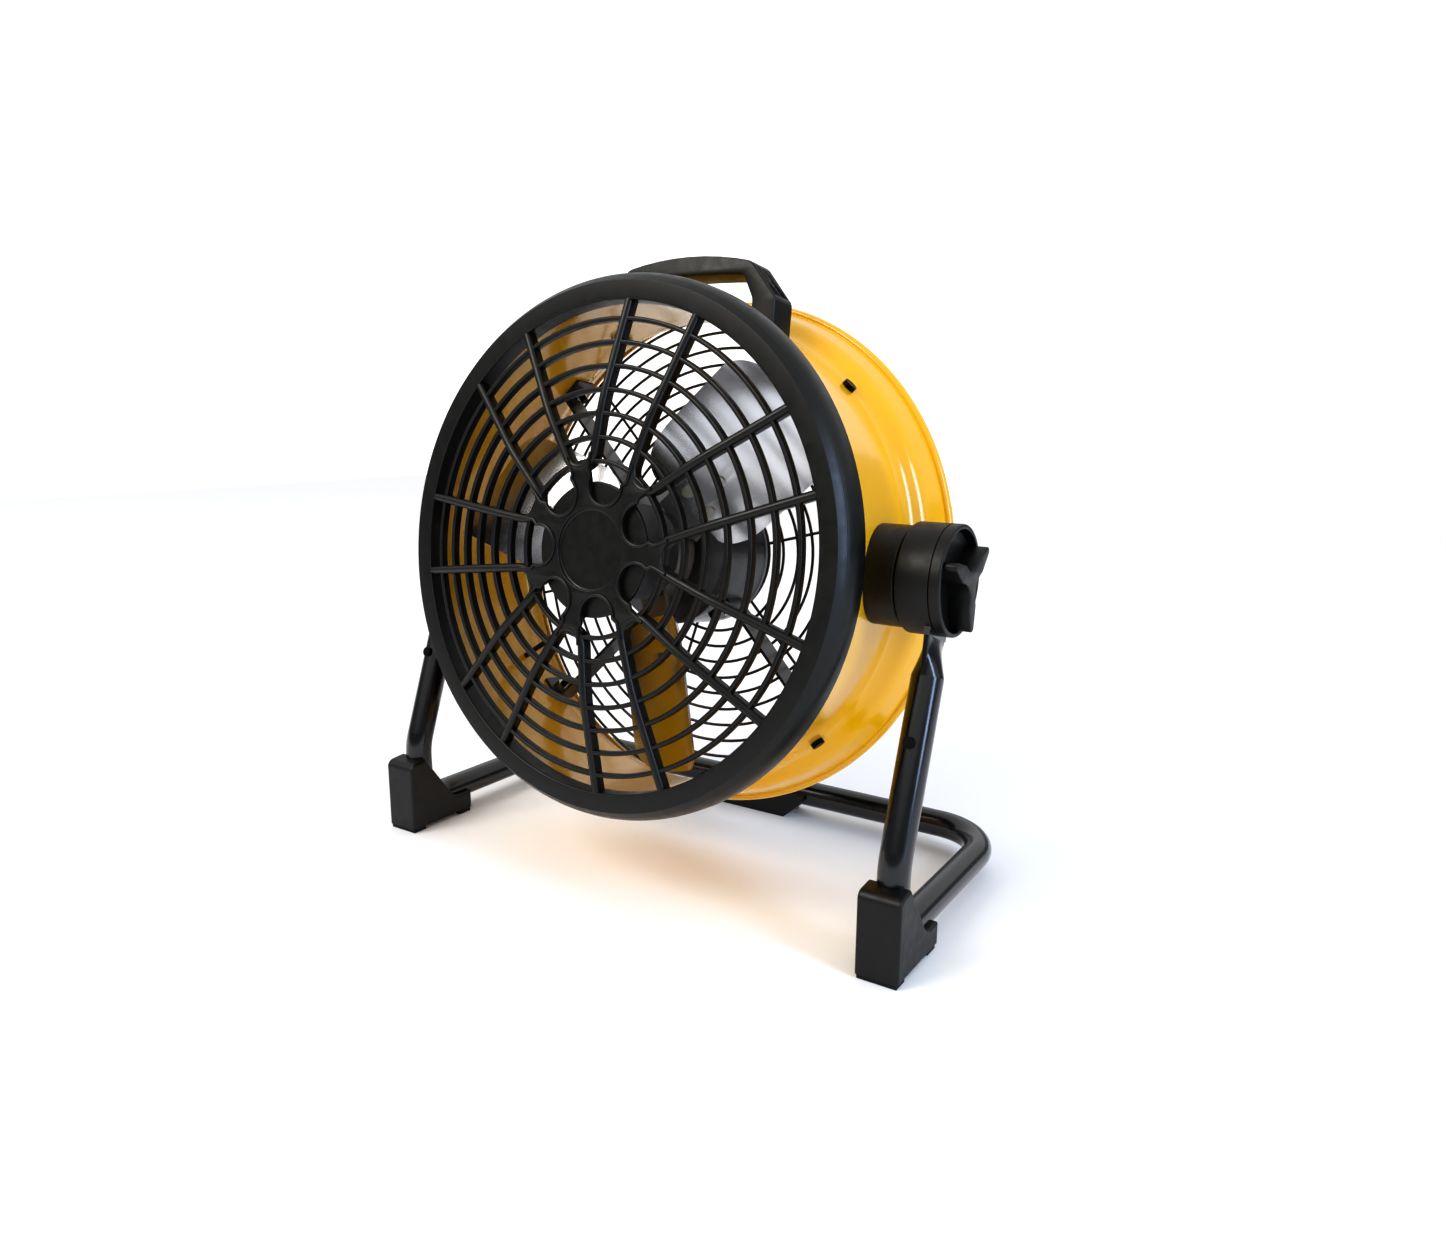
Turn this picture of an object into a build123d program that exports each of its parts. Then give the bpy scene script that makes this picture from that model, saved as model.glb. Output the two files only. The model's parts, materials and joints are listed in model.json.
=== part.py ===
from build123d import *
from math import asin, atan, atan2, cos, degrees, radians, sin, sqrt, tan
import os

# Portable axial air mover: a steel drum with a motor and a three-blade fan inside, hung
# between two legs of a bent-tube stand. Lengths are in millimetres. +Z is up and -Y is the
# side the air leaves by. The pieces are drawn from a point on the floor, midway between
# the feet, in the plane of their front faces. They are saved with the origin on the floor
# under the middle of the machine.

os.makedirs("parts", exist_ok=True)

# ---------------------------------------------------------------- driving dimensions

# Fits
RUN = 0.04            # radial clearance of a shaft that turns in a bore
SLIP = 0.15           # radial clearance of a bolt or a spigot that is pushed in by hand
GAP = 0.3             # space between faces that pass each other

# Stand
MIDDLE_Y = 110.8      # middle of the machine, front to back
TUBE_OD = 22.2
TUBE_WALL = 1.5
STAND_HALF = 228.0    # middle plane to the centre line of a leg
LEG_Y = 22.6          # upright part of the leg, behind the front of the foot
TUBE_Z = 21.7         # centre line of the tubes that lie along the floor
REAR_Y = 229.9        # centre line of the rear crossbar
LEG_LEAN = 19.5       # backward lean of the upper part of the leg, degrees
ELBOW_R = 60.0        # bend between the upright and the leaning part
ANKLE_R = 26.0        # bend inside the foot
CORNER_R = 48.0       # rear corners of the frame
JOINT_Z = 162.0       # height of the joint between the frame and the upper leg
SPIGOT_L = 24.0       # swaged end of the upper leg that slides into the frame
FLAT_T = 4.4          # thickness of the flattened end of the upper leg
FLAT_W = 32.0         # its width, and the diameter of its round end
FLAT_START = 66.0     # distance below the pivot at which the tube is still round
FLAT_END = 40.0       # distance below the pivot at which it is fully flat
LEG_SCREW_R = 2.0
LEG_SCREW_HEAD_R = 4.0
LEG_SCREW_HEAD_H = 2.4
LEG_SCREW_L = 8.0

# Feet
FOOT_W = 31.5
FOOT_D = 67.7
FOOT_FRONT_H = 56.0
FOOT_TOP_H = 63.5
FOOT_TOP_Y = 17.0
FOOT_LEDGE_H = 19.5
FOOT_LEDGE_L = 12.0
FOOT_SWEEP_END = (43.5, 26.0)
FOOT_ROUND_Y = 6.0
FOOT_EDGE_R = 2.0
PAD_T = 3.0           # rubber pad under each foot
PAD_L = 13.0          # its length, front to back
REAR_FOOT_TOP_W = 112.0
REAR_FOOT_BOTTOM_W = 72.0
REAR_FOOT_D = 30.0

# Head: pivot, rest tilt and axial stations, measured forward from the pivot
PIVOT_Y = 87.2
PIVOT_Z = 255.6
TILT = 7.6            # the outlet points this far above the horizontal at rest
RIM_S = 85.0          # front face of the grille's rim
SKIRT_S = 61.0        # rear edge of its skirt
DOME_H = 12.0         # the middle of the grille stands this far ahead of its rim
SHOULDER_S = -36.0    # where the drum starts to widen
SHOULDER_L = 10.0
REAR_S = -74.0        # rear lip of the drum

# Drum
DRUM_R = 184.5        # outside of its front cylinder
SHEET = 1.5
DRUM_FRONT_S = 70.0
FLANGE_R = 193.0      # front flange that the grille is screwed to
BAND_R = 197.0        # outside of the wide rear band where it starts
BAND_REAR_R = 203.0
LIP_R = 207.5         # outside of the rolled rear lip
BEAD_R = 3.4

# Grille
RIM_R = 197.5
RIM_INNER_R = 176.0
RIM_ROUND = 8.0
GRILLE_WALL = 3.0
RIM_LIP_D = 15.0      # depth of the rim's inner wall
PAIRS = 7             # ribs stand in pairs
PAIR_ANGLE = 180.0    # one pair points at the left leg
RIB_W = 6.6
RIB_D = 9.5
RIB_ROOT_R = 52.0
RIB_ROOT_X = 16.6     # half distance between the ribs of a pair, at the root
RIB_TIP_X = 30.0      # and at the tip
RING_COUNT = 7
RING_FIRST_R = 62.8
RING_PITCH = 16.7
RING_W = 3.4
RING_D = 6.2
RING_SET_BACK = 1.6   # rings lie this far behind the tops of the ribs
FLAT_R = 106.0        # the grille is flat inside this radius
HUB_R = 75.0
HUB_T = 4.0
SCALLOP_AT = 75.0     # centre of the round end of the space between two pairs
SCALLOP_R = 12.6
DISH_R = 29.0         # round dish in the middle of the hub
DISH_D = 2.2
POCKET_R = 13.8       # round pocket at the root of each pair
POCKET_AT = 47.5
FLOOR_R = 48.5        # edge of the pockets' floor
FLOOR_T = 2.4
GRILLE_SCREWS = 4
GRILLE_SCREW_ANGLE = 45.0
GRILLE_SCREW_AT = 189.2
GRILLE_SCREW_R = 1.8
GRILLE_SCREW_L = 9.0
GRILLE_SCREW_HEAD_R = 3.3
GRILLE_SCREW_HEAD_H = 2.0
GRILLE_BOSS_R = 4.0

# Rear guard
GUARD_S = -70.5
WIRE_R = 1.25
GUARD_RING_R = 197.6
GUARD_RINGS = 13
GUARD_SPOKES = 6
GUARD_SPOKE_ANGLE = 15.0
GUARD_PLATE_R = 24.0
CLIPS = 4
CLIP_W = 14.0
CLIP_REAR_S = -73.5
CLIP_FRONT_S = -57.0
CLIP_IN_R = 195.0
CLIP_SCREW_R = 2.0
CLIP_SCREW_S = -61.0
CLIP_SCREW_L = 5.0
CLIP_SCREW_HEAD_R = 3.8
CLIP_SCREW_HEAD_H = 2.2

# Motor
MOTOR_R = 56.0
MOTOR_FRONT_S = -4.0
MOTOR_REAR_S = -56.0
MOTOR_WALL = 2.5
BELL_T = 7.0
BELL_WALL = 3.0
BEARING_R = 16.0
BEARING_W = 9.0
SHAFT_R = 6.0
CORE_L = 34.0
ROTOR_R = 33.0
AIR_GAP = 0.5
WINDING_T = 8.0
WINDING_W = 16.0
SHAFT_END_GAP = 0.8

# Motor arms
ARM_S = -28.0
ARM_ANGLE = 45.5
ARM_W = 20.0
ARM_T = 2.5
ARM_TAB = 22.0
TAB_SAG = 0.4         # the flat inside of a tab lies this far in from the drum's curve
BOLT_R = 3.0
BOLT_HEAD_R = 5.2
BOLT_HEAD_H = 3.8
BOLT_L = 15.0
NUT_R = 5.5
NUT_H = 5.0
SEAT = 0.1            # flat heads and nuts stand this far off the curved walls
MOTOR_SCREW_R = 2.0
MOTOR_SCREW_HEAD_R = 3.8
MOTOR_SCREW_HEAD_H = 2.4

# Fan
BLADES = 3
BLADE_ANGLE = 43.0
BLADE_S = 27.0
BLADE_PITCH = 27.0
BLADE_T = 1.8
BLADE_TIP_R = 168.0
BLADE_ROOT_R = 50.0
BLADE_ROOT_W = 58.0
BLADE_W = 100.0
BLADE_MID_R = 98.0
BLADE_CORNER = 20.0
CAMBER_R = 170.0
SPIDER_R = 36.0       # hub of the spider, a cup with a boss in it
SPIDER_T = 3.0
SPIDER_L = 21.0
SPIDER_ARM_R = 92.0
SPIDER_ARM_W = 40.0
BOSS_R = 13.0
BOSS_L = 24.0
FAN_NUT_R = 9.0
FAN_NUT_H = 6.0
RIVET_SPOTS = ((60.0, -11.0), (60.0, 11.0), (82.0, 0.0))
RIVET_R = 2.5
RIVET_HEAD_R = 4.6
RIVET_HEAD_H = 2.2

# Pivots
POD_R = 35.0
POD_OUT_X = 206.0
POD_ROOT_X = 165.0
POD_WALL = 3.5
POD_BOSS_R = 12.0
POD_ROUND = 1.5
CAP_R = 38.0
CAP_OUT_X = 231.0
WASHER_T = 1.6
WASHER_R = 24.0
PIVOT_BOLT_R = 5.0
PIVOT_HEAD_R = 9.0
PIVOT_HEAD_H = 5.0
PIVOT_SEAT = 0.3
KNOB_OUT_X = 239.0
KNOB_WING_X = 248.0
KNOB_WALL = 3.0
KNOB_DISH = 5.0
KNOB_BOSS_R = 12.0
KNOB_SKIN = 2.0
WING_ANGLES = (35.0, 155.0, 275.0)
WING_T = 7.0
WING_R = 34.5

# Handle
HANDLE_FRONT_S = 3.0
HANDLE_D = 27.0
HANDLE_HALF = 80.0
HANDLE_TOP = 226.0    # crown of the grip above the drum's axis
HANDLE_EDGE_X = 57.0
HANDLE_EDGE_Y = 219.5
HANDLE_KNEE_Y = 192.0
GRIP_T = 15.0
OPEN_HALF = 60.0
OPEN_TOP_HALF = 51.0
HANDLE_FOOT_Y = 160.0
HANDLE_SCREW_X = 70.0
HANDLE_SCREW_STEP = 14.0
HANDLE_SCREW_R = 2.5
HANDLE_SCREW_L = 14.0
HANDLE_SCREW_HEAD_R = 4.5
HANDLE_SCREW_HEAD_H = 2.6

# Control box
BOX_ANGLE = 214.0
BOX_W = 78.0
BOX_L = 58.0
BOX_S = 12.0
BOX_OUT_R = 218.0
BOX_DEPTH = 42.0
BOX_WALL = 2.5
BOX_ROUND = 6.0
LID_T = 3.0
LID_SCREW_INSET = 7.0
LID_SCREW_R = 1.6
LID_SCREW_L = 10.0
LID_SCREW_HEAD_R = 3.0
LID_SCREW_HEAD_H = 1.8
LID_POST_R = 5.2
DIAL_R = 17.0
DIAL_H = 15.0
DIAL_BAR_W = 8.0
SPINDLE_R = 3.0
SWITCH_R = 13.0
SWITCH_H = 17.0
CAPACITOR_R = 8.5
CAPACITOR_L = 32.0
CAPACITOR_Y = -22.5
CAPACITOR_DROP = 17.0
GLAND_R = 8.0
GLAND_L = 15.0
GLAND_Y = 14.0
GLAND_DROP = 17.0
GLAND_BORE_R = 3.6
LEAD_R = 2.3
LEAD_S = -9.0

# ---------------------------------------------------------------- places

HEAD = Plane(
    origin=(0, PIVOT_Y, PIVOT_Z),
    x_dir=(1, 0, 0),
    z_dir=(0, -cos(radians(TILT)), sin(radians(TILT))),
)
HEAD_AXIS = Axis(HEAD.origin, HEAD.z_dir)
# Profiles of round head parts: x is the radius, y the station along the axis.
SECTION = Plane(origin=HEAD.origin, x_dir=HEAD.x_dir, z_dir=-HEAD.y_dir)
# Planes across the pivot axis, seen from +X: x runs back, y up.
PIVOT = Plane(origin=(0, PIVOT_Y, PIVOT_Z), x_dir=(0, 1, 0), z_dir=(1, 0, 0))
SIDES = {"left": -1, "right": 1}
# Plane across a blade that points along +X: x runs along its chord, y out of its front.
CHORD = Plane(
    origin=(0, 0, 0),
    x_dir=(0, cos(radians(BLADE_PITCH)), sin(radians(BLADE_PITCH))),
    z_dir=(1, 0, 0),
)
INNER_R = DRUM_R - SHEET
SHAFT_END_S = MOTOR_REAR_S - BELL_T + BELL_WALL + SHAFT_END_GAP
SHAFT_TIP_S = BLADE_S + BOSS_L / 2 + FAN_NUT_H + 3
BLADE_HALF_Y = BLADE_W / 2 * cos(radians(BLADE_PITCH))
BLADE_TIP_EDGE_R = sqrt(BLADE_TIP_R**2 - BLADE_HALF_Y**2)
CAP_IN_X = POD_OUT_X + WASHER_T
ARM_ANGLES = (ARM_ANGLE, 180 - ARM_ANGLE, 180 + ARM_ANGLE, 360 - ARM_ANGLE)
CLIP_ANGLES = [360 / CLIPS * clip for clip in range(CLIPS)]
# Alignments of a cylinder that stands up from its plane, or hangs below it.
UP = (Align.CENTER, Align.CENTER, Align.MIN)
DOWN = (Align.CENTER, Align.CENTER, Align.MAX)
# Height at which the leaning leg meets the upright one.
ELBOW_Z = PIVOT_Z - (PIVOT_Y - LEG_Y) / tan(radians(LEG_LEAN))
JOINT_Y = PIVOT_Y - (PIVOT_Z - JOINT_Z) * tan(radians(LEG_LEAN))
JOINT_BELOW = (PIVOT_Z - JOINT_Z) / cos(radians(LEG_LEAN))


def radial_plane(angle, station, radius):
    """Plane that faces outwards at a place on the drum, with x along the axis."""
    out = HEAD.x_dir * cos(radians(angle)) + HEAD.y_dir * sin(radians(angle))
    return Plane(origin=HEAD.origin + out * radius + HEAD.z_dir * station, x_dir=HEAD.z_dir, z_dir=out)


def leg_plane(side, below_pivot):
    """Plane across the leaning leg, at a distance below the pivot along the leg."""
    down = Vector(0, -sin(radians(LEG_LEAN)), -cos(radians(LEG_LEAN)))
    origin = Vector(side * STAND_HALF, PIVOT_Y, PIVOT_Z) + down * below_pivot
    return Plane(origin=origin, x_dir=(1, 0, 0), z_dir=-down)


def screw_plane(side):
    """Plane on the front of the leg, just below the joint, facing out of the tube."""
    across = Vector(0, -cos(radians(LEG_LEAN)), sin(radians(LEG_LEAN)))
    origin = leg_plane(side, JOINT_BELOW + SPIGOT_L / 2).origin + across * (TUBE_OD / 2)
    return Plane(origin=origin, x_dir=(1, 0, 0), z_dir=across)


def grille_screw_planes():
    """Planes of the grille's screws, on the front of the drum's flange."""
    planes = []
    for screw in range(GRILLE_SCREWS):
        turn = radial_plane(GRILLE_SCREW_ANGLE + 360 / GRILLE_SCREWS * screw, DRUM_FRONT_S, GRILLE_SCREW_AT)
        planes.append(Plane(origin=turn.origin, x_dir=turn.z_dir, z_dir=HEAD.z_dir))
    return planes


def handle_screw_planes(radius):
    """Planes of the handle's screws at a radius, facing outwards."""
    lean = degrees(asin(HANDLE_SCREW_X / DRUM_R))
    middle = HANDLE_FRONT_S - HANDLE_D / 2
    return [
        radial_plane(90 + turn, middle + step, radius)
        for turn in (-lean, lean)
        for step in (-HANDLE_SCREW_STEP / 2, HANDLE_SCREW_STEP / 2)
    ]


def box_plane(x, y, drop, facing):
    """Plane inside the control box: along the axis, across it and below its lid."""
    origin = BOX.from_local_coords(Vector(x, y, -drop))
    return Plane(origin=origin, x_dir=BOX.y_dir, z_dir=facing)


def clip_screw_planes():
    """Planes of the clips' screws, square to the sloping rear band, facing outwards."""
    slope = atan((BAND_REAR_R - BAND_R) / (SHOULDER_S - SHOULDER_L - REAR_S - 2 * BEAD_R))
    planes = []
    for angle in CLIP_ANGLES:
        level = radial_plane(angle, CLIP_SCREW_S, band_radius(CLIP_SCREW_S))
        facing = level.z_dir * cos(slope) + HEAD.z_dir * sin(slope)
        planes.append(Plane(origin=level.origin, z_dir=facing))
    return planes


def band_radius(station):
    """Radius of the middle of the sheet in the wide rear band."""
    start = SHOULDER_S - SHOULDER_L
    end = REAR_S + 2 * BEAD_R
    share = (start - station) / (start - end)
    return BAND_R - SHEET / 2 + (BAND_REAR_R - BAND_R) * share


def rivet_planes():
    """Planes of one blade's rivets, in the middle of its sheet, facing its front."""
    planes = []
    for radius, across in RIVET_SPOTS:
        lean = asin(across / CAMBER_R)
        origin = CHORD.from_local_coords(Vector(across, CAMBER_R * (1 - cos(lean)), radius))
        facing = CHORD.y_dir * cos(lean) - CHORD.x_dir * sin(lean)
        planes.append(Plane(origin=origin, x_dir=CHORD.z_dir, z_dir=facing))
    return planes


def dome(radius):
    """Station of the tops of the grille's ribs at a radius."""
    if radius <= FLAT_R:
        return RIM_S + DOME_H
    return RIM_S + DOME_H * (RIM_INNER_R - radius) / (RIM_INNER_R - FLAT_R)


def save(piece, name):
    """Label a finished piece and write its file."""
    centred = piece.part.moved(Pos(Y=-MIDDLE_Y))
    centred.label = name
    export_step(centred, f"parts/{name}.step")


def revolved(points):
    """A round head piece from the corners of its half section."""
    with BuildPart() as piece:
        with BuildSketch(SECTION):
            with BuildLine():
                Polyline(*points, close=True)
            make_face()
        revolve(axis=HEAD_AXIS)
    return piece


def tube_section(station0, station1, outer, inner):
    """Half section of a plain ring."""
    return [(inner, station0), (outer, station0), (outer, station1), (inner, station1)]


BOX = radial_plane(BOX_ANGLE, BOX_S, BOX_OUT_R)

# ---------------------------------------------------------------- stand

half_path = [
    (STAND_HALF, JOINT_Y, JOINT_Z),
    (STAND_HALF, LEG_Y, ELBOW_Z),
    (STAND_HALF, LEG_Y, TUBE_Z),
    (STAND_HALF, REAR_Y, TUBE_Z),
]
frame_path = half_path + [(-x, y, z) for x, y, z in reversed(half_path)]
frame_bends = [ELBOW_R, ANKLE_R, CORNER_R, CORNER_R, ANKLE_R, ELBOW_R]

with BuildPart() as base_tube:
    with BuildLine() as route:
        FilletPolyline(*frame_path, radius=frame_bends)
    with BuildSketch(Plane(origin=route.line @ 0, z_dir=route.line % 0)):
        Circle(TUBE_OD / 2)
        Circle(TUBE_OD / 2 - TUBE_WALL, mode=Mode.SUBTRACT)
    sweep(path=route.line)
    for side in SIDES.values():
        with Locations(screw_plane(side)):
            Cylinder(LEG_SCREW_R + SLIP, TUBE_OD / 2, align=DOWN, mode=Mode.SUBTRACT)
save(base_tube, "base_tube")

# The upper leg: a spigot, a round tube of the frame's size, and a flattened eye.
for name, side in SIDES.items():
    with BuildPart() as leg:
        with BuildSketch(leg_plane(side, JOINT_BELOW + SPIGOT_L)):
            Circle(TUBE_OD / 2 - TUBE_WALL - SLIP)
        extrude(amount=SPIGOT_L)
        with BuildSketch(leg_plane(side, JOINT_BELOW)):
            Circle(TUBE_OD / 2)
        extrude(amount=JOINT_BELOW - FLAT_START)
        with BuildSketch(leg_plane(side, FLAT_START)):
            Circle(TUBE_OD / 2)
        with BuildSketch(leg_plane(side, FLAT_END)):
            RectangleRounded(FLAT_T, FLAT_W, FLAT_T / 2 - 0.1)
        loft()
        with BuildSketch(PIVOT.offset(side * STAND_HALF - FLAT_T / 2)):
            Circle(FLAT_W / 2)
            with Locations(Rotation(0, 0, -LEG_LEAN) * Pos(0, -FLAT_END / 2)):
                Rectangle(FLAT_W, FLAT_END)
        extrude(amount=FLAT_T)
        with Locations(PIVOT.offset(side * STAND_HALF)):
            Cylinder(PIVOT_BOLT_R + RUN, 2 * FLAT_T, mode=Mode.SUBTRACT)
        with BuildSketch(leg_plane(side, JOINT_BELOW + SPIGOT_L)):
            Circle(TUBE_OD / 2 - 2 * TUBE_WALL - SLIP)
        extrude(amount=JOINT_BELOW + SPIGOT_L - FLAT_START, mode=Mode.SUBTRACT)
        with Locations(screw_plane(side)):
            Cylinder(LEG_SCREW_R, TUBE_OD / 2, align=DOWN, mode=Mode.SUBTRACT)
    save(leg, f"leg_upper_{name}")

with BuildPart() as leg_screws:
    for side in SIDES.values():
        with Locations(screw_plane(side)):
            Cylinder(LEG_SCREW_R, LEG_SCREW_L, align=DOWN)
            Cylinder(LEG_SCREW_HEAD_R, LEG_SCREW_HEAD_H, align=UP)
save(leg_screws, "leg_screws")

# Moulded feet: a block over the ankle of the tube that sweeps down to a low ledge.
for name, side in SIDES.items():
    with BuildPart() as foot:
        with BuildSketch(Plane.YZ.offset(side * STAND_HALF - FOOT_W / 2)):
            with BuildLine():
                front = Polyline((0, FOOT_FRONT_H), (0, PAD_T), (FOOT_D, PAD_T), (FOOT_D, FOOT_LEDGE_H))
                ledge = Line(front @ 1, (FOOT_D - FOOT_LEDGE_L, FOOT_LEDGE_H))
                sweep_up = TangentArc(ledge @ 1, FOOT_SWEEP_END, tangent=(-1, 0))
                slope = Line(sweep_up @ 1, (FOOT_TOP_Y, FOOT_TOP_H))
                crown = Line(slope @ 1, (FOOT_ROUND_Y, FOOT_TOP_H - 1))
                TangentArc(crown @ 1, front @ 0, tangent=crown % 1)
            make_face()
        extrude(amount=FOOT_W)
        fillet(foot.faces().filter_by(Axis.X).edges(), FOOT_EDGE_R)
        with BuildSketch(Plane(origin=route.line @ 0, z_dir=route.line % 0)):
            Circle(TUBE_OD / 2)
        sweep(path=route.line, mode=Mode.SUBTRACT)
    save(foot, f"foot_{name}")

with BuildPart() as foot_pads:
    for side in SIDES.values():
        for y in (PAD_L / 2 + 1, FOOT_D - PAD_L / 2 - 1):
            with Locations((side * STAND_HALF, y, 0)):
                Box(FOOT_W - 3, PAD_L, PAD_T, align=(Align.CENTER, Align.CENTER, Align.MIN))
save(foot_pads, "foot_pads")

# Wedge that hugs the rear crossbar and stands on the floor.
with BuildPart() as rear_foot:
    with BuildSketch(Plane.XZ.offset(-REAR_Y - REAR_FOOT_D / 2)):
        with BuildLine():
            Polyline(
                (-REAR_FOOT_BOTTOM_W / 2, 0),
                (REAR_FOOT_BOTTOM_W / 2, 0),
                (REAR_FOOT_TOP_W / 2, TUBE_Z - 3),
                (REAR_FOOT_TOP_W / 2, TUBE_Z + 2),
                (-REAR_FOOT_TOP_W / 2, TUBE_Z + 2),
                (-REAR_FOOT_TOP_W / 2, TUBE_Z - 3),
                close=True,
            )
        make_face()
    extrude(amount=REAR_FOOT_D)
    with Locations(Location((0, REAR_Y, TUBE_Z), (0, 90, 0))):
        Cylinder(TUBE_OD / 2, 2 * REAR_FOOT_TOP_W, mode=Mode.SUBTRACT)
save(rear_foot, "rear_foot")

# ---------------------------------------------------------------- drum

drum_line = [
    (FLANGE_R, DRUM_FRONT_S - SHEET / 2),
    (DRUM_R - SHEET / 2, DRUM_FRONT_S - SHEET / 2),
    (DRUM_R - SHEET / 2, SHOULDER_S),
    (BAND_R - SHEET / 2, SHOULDER_S - SHOULDER_L),
    (BAND_REAR_R - SHEET / 2, REAR_S + 2 * BEAD_R),
    (LIP_R - BEAD_R, REAR_S + BEAD_R),
]
with BuildPart() as drum_shell:
    with BuildSketch(SECTION):
        with BuildLine():
            FilletPolyline(*drum_line, radius=[2.0, 6.0, 5.0, 3.0])
        trace(line_width=SHEET)
        with Locations((LIP_R - BEAD_R, REAR_S + BEAD_R)):
            Circle(BEAD_R)
    revolve(axis=HEAD_AXIS)
    for angle in ARM_ANGLES:
        with Locations(radial_plane(angle, ARM_S, DRUM_R)):
            Cylinder(BOLT_R + SLIP, 4 * SHEET, mode=Mode.SUBTRACT)
    for side in SIDES.values():
        with Locations(PIVOT.offset(side * DRUM_R)):
            Cylinder(PIVOT_BOLT_R + SLIP, 8 * SHEET, mode=Mode.SUBTRACT)
    for place in handle_screw_planes(DRUM_R):
        with Locations(place):
            Cylinder(HANDLE_SCREW_R + SLIP, 4 * SHEET, mode=Mode.SUBTRACT)
    with Locations(*clip_screw_planes()):
        Cylinder(CLIP_SCREW_R + SLIP, 4 * SHEET, mode=Mode.SUBTRACT)
    with Locations(radial_plane(BOX_ANGLE, LEAD_S, DRUM_R)):
        Cylinder(LEAD_R + SLIP, 4 * SHEET, mode=Mode.SUBTRACT)
    with Locations(*grille_screw_planes()):
        Cylinder(GRILLE_SCREW_R + SLIP, 4 * SHEET, mode=Mode.SUBTRACT)
save(drum_shell, "drum_shell")

# ---------------------------------------------------------------- front grille

rib_line = [(RIB_ROOT_R, dome(RIB_ROOT_R)), (FLAT_R, dome(FLAT_R)), (RIM_INNER_R + 2, dome(RIM_INNER_R + 2))]
rib_slant = degrees(atan2(RIB_TIP_X - RIB_ROOT_X, RIM_INNER_R - RIB_ROOT_R))
with BuildPart() as rib_pair:
    for side in SIDES.values():
        root = Vector(RIB_ROOT_R, side * RIB_ROOT_X, 0)
        along = Vector(cos(radians(rib_slant)), side * sin(radians(rib_slant)), 0)
        with BuildSketch(Plane(origin=root, x_dir=along, z_dir=along.cross(Vector(0, 0, 1)))):
            with BuildLine():
                tops = [((r - RIB_ROOT_R) / cos(radians(rib_slant)), s) for r, s in rib_line]
                Polyline(*tops, *[(x, s - RIB_D) for x, s in reversed(tops)], close=True)
            make_face()
        extrude(amount=RIB_W / 2, both=True)

with BuildPart(HEAD) as front_grille:
    with BuildSketch(SECTION):
        with BuildLine():
            outer = Polyline(
                (RIM_R, RIM_S - RIM_ROUND),
                (RIM_R, SKIRT_S),
                (RIM_R - GRILLE_WALL, SKIRT_S),
                (RIM_R - GRILLE_WALL, RIM_S - RIM_ROUND),
                (RIM_R - RIM_ROUND, RIM_S - GRILLE_WALL),
                (RIM_INNER_R + GRILLE_WALL, RIM_S - GRILLE_WALL),
                (RIM_INNER_R + GRILLE_WALL, RIM_S - RIM_LIP_D),
                (RIM_INNER_R, RIM_S - RIM_LIP_D),
                (RIM_INNER_R, RIM_S - 1.5),
                (RIM_INNER_R + 1.5, RIM_S),
                (RIM_R - RIM_ROUND, RIM_S),
            )
            RadiusArc(outer @ 1, outer @ 0, RIM_ROUND)
        make_face()
        for ring in range(RING_COUNT):
            radius = RING_FIRST_R + ring * RING_PITCH
            top = dome(radius) - RING_SET_BACK
            with Locations((radius, top - RING_D / 2)):
                RectangleRounded(RING_W, RING_D, RING_W / 2 - 0.1)
    revolve(axis=HEAD_AXIS)
    with PolarLocations(0, PAIRS, start_angle=PAIR_ANGLE):
        add(rib_pair.part)
    with BuildSketch(HEAD.offset(dome(0) - HUB_T)):
        Circle(HUB_R)
        with PolarLocations(SCALLOP_AT, PAIRS, start_angle=PAIR_ANGLE + 180 / PAIRS):
            Circle(SCALLOP_R, mode=Mode.SUBTRACT)
        with PolarLocations(0, PAIRS, start_angle=PAIR_ANGLE):
            with Locations((POCKET_AT, 0)):
                Circle(POCKET_R, mode=Mode.SUBTRACT)
            with Locations((POCKET_AT + HUB_R / 2, 0)):
                Rectangle(HUB_R, 2 * POCKET_R, mode=Mode.SUBTRACT)
    extrude(amount=HUB_T)
    with BuildSketch(HEAD.offset(dome(0) - HUB_T - FLOOR_T)):
        Circle(FLOOR_R)
    extrude(amount=FLOOR_T)
    with Locations((0, 0, dome(0))):
        Cylinder(DISH_R, 2 * DISH_D, mode=Mode.SUBTRACT)
    with BuildSketch(HEAD.offset(DRUM_FRONT_S)):
        with PolarLocations(GRILLE_SCREW_AT, GRILLE_SCREWS, start_angle=GRILLE_SCREW_ANGLE):
            Circle(GRILLE_BOSS_R)
            Circle(GRILLE_SCREW_R, mode=Mode.SUBTRACT)
    extrude(amount=GRILLE_SCREW_L)
save(front_grille, "front_grille")

with BuildPart() as grille_screws:
    for place in grille_screw_planes():
        with Locations(place.offset(-SHEET)):
            Cylinder(GRILLE_SCREW_HEAD_R, GRILLE_SCREW_HEAD_H, align=DOWN)
            Cylinder(GRILLE_SCREW_R, GRILLE_SCREW_L, align=UP)
save(grille_screws, "grille_screws")

# ---------------------------------------------------------------- rear guard

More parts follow.
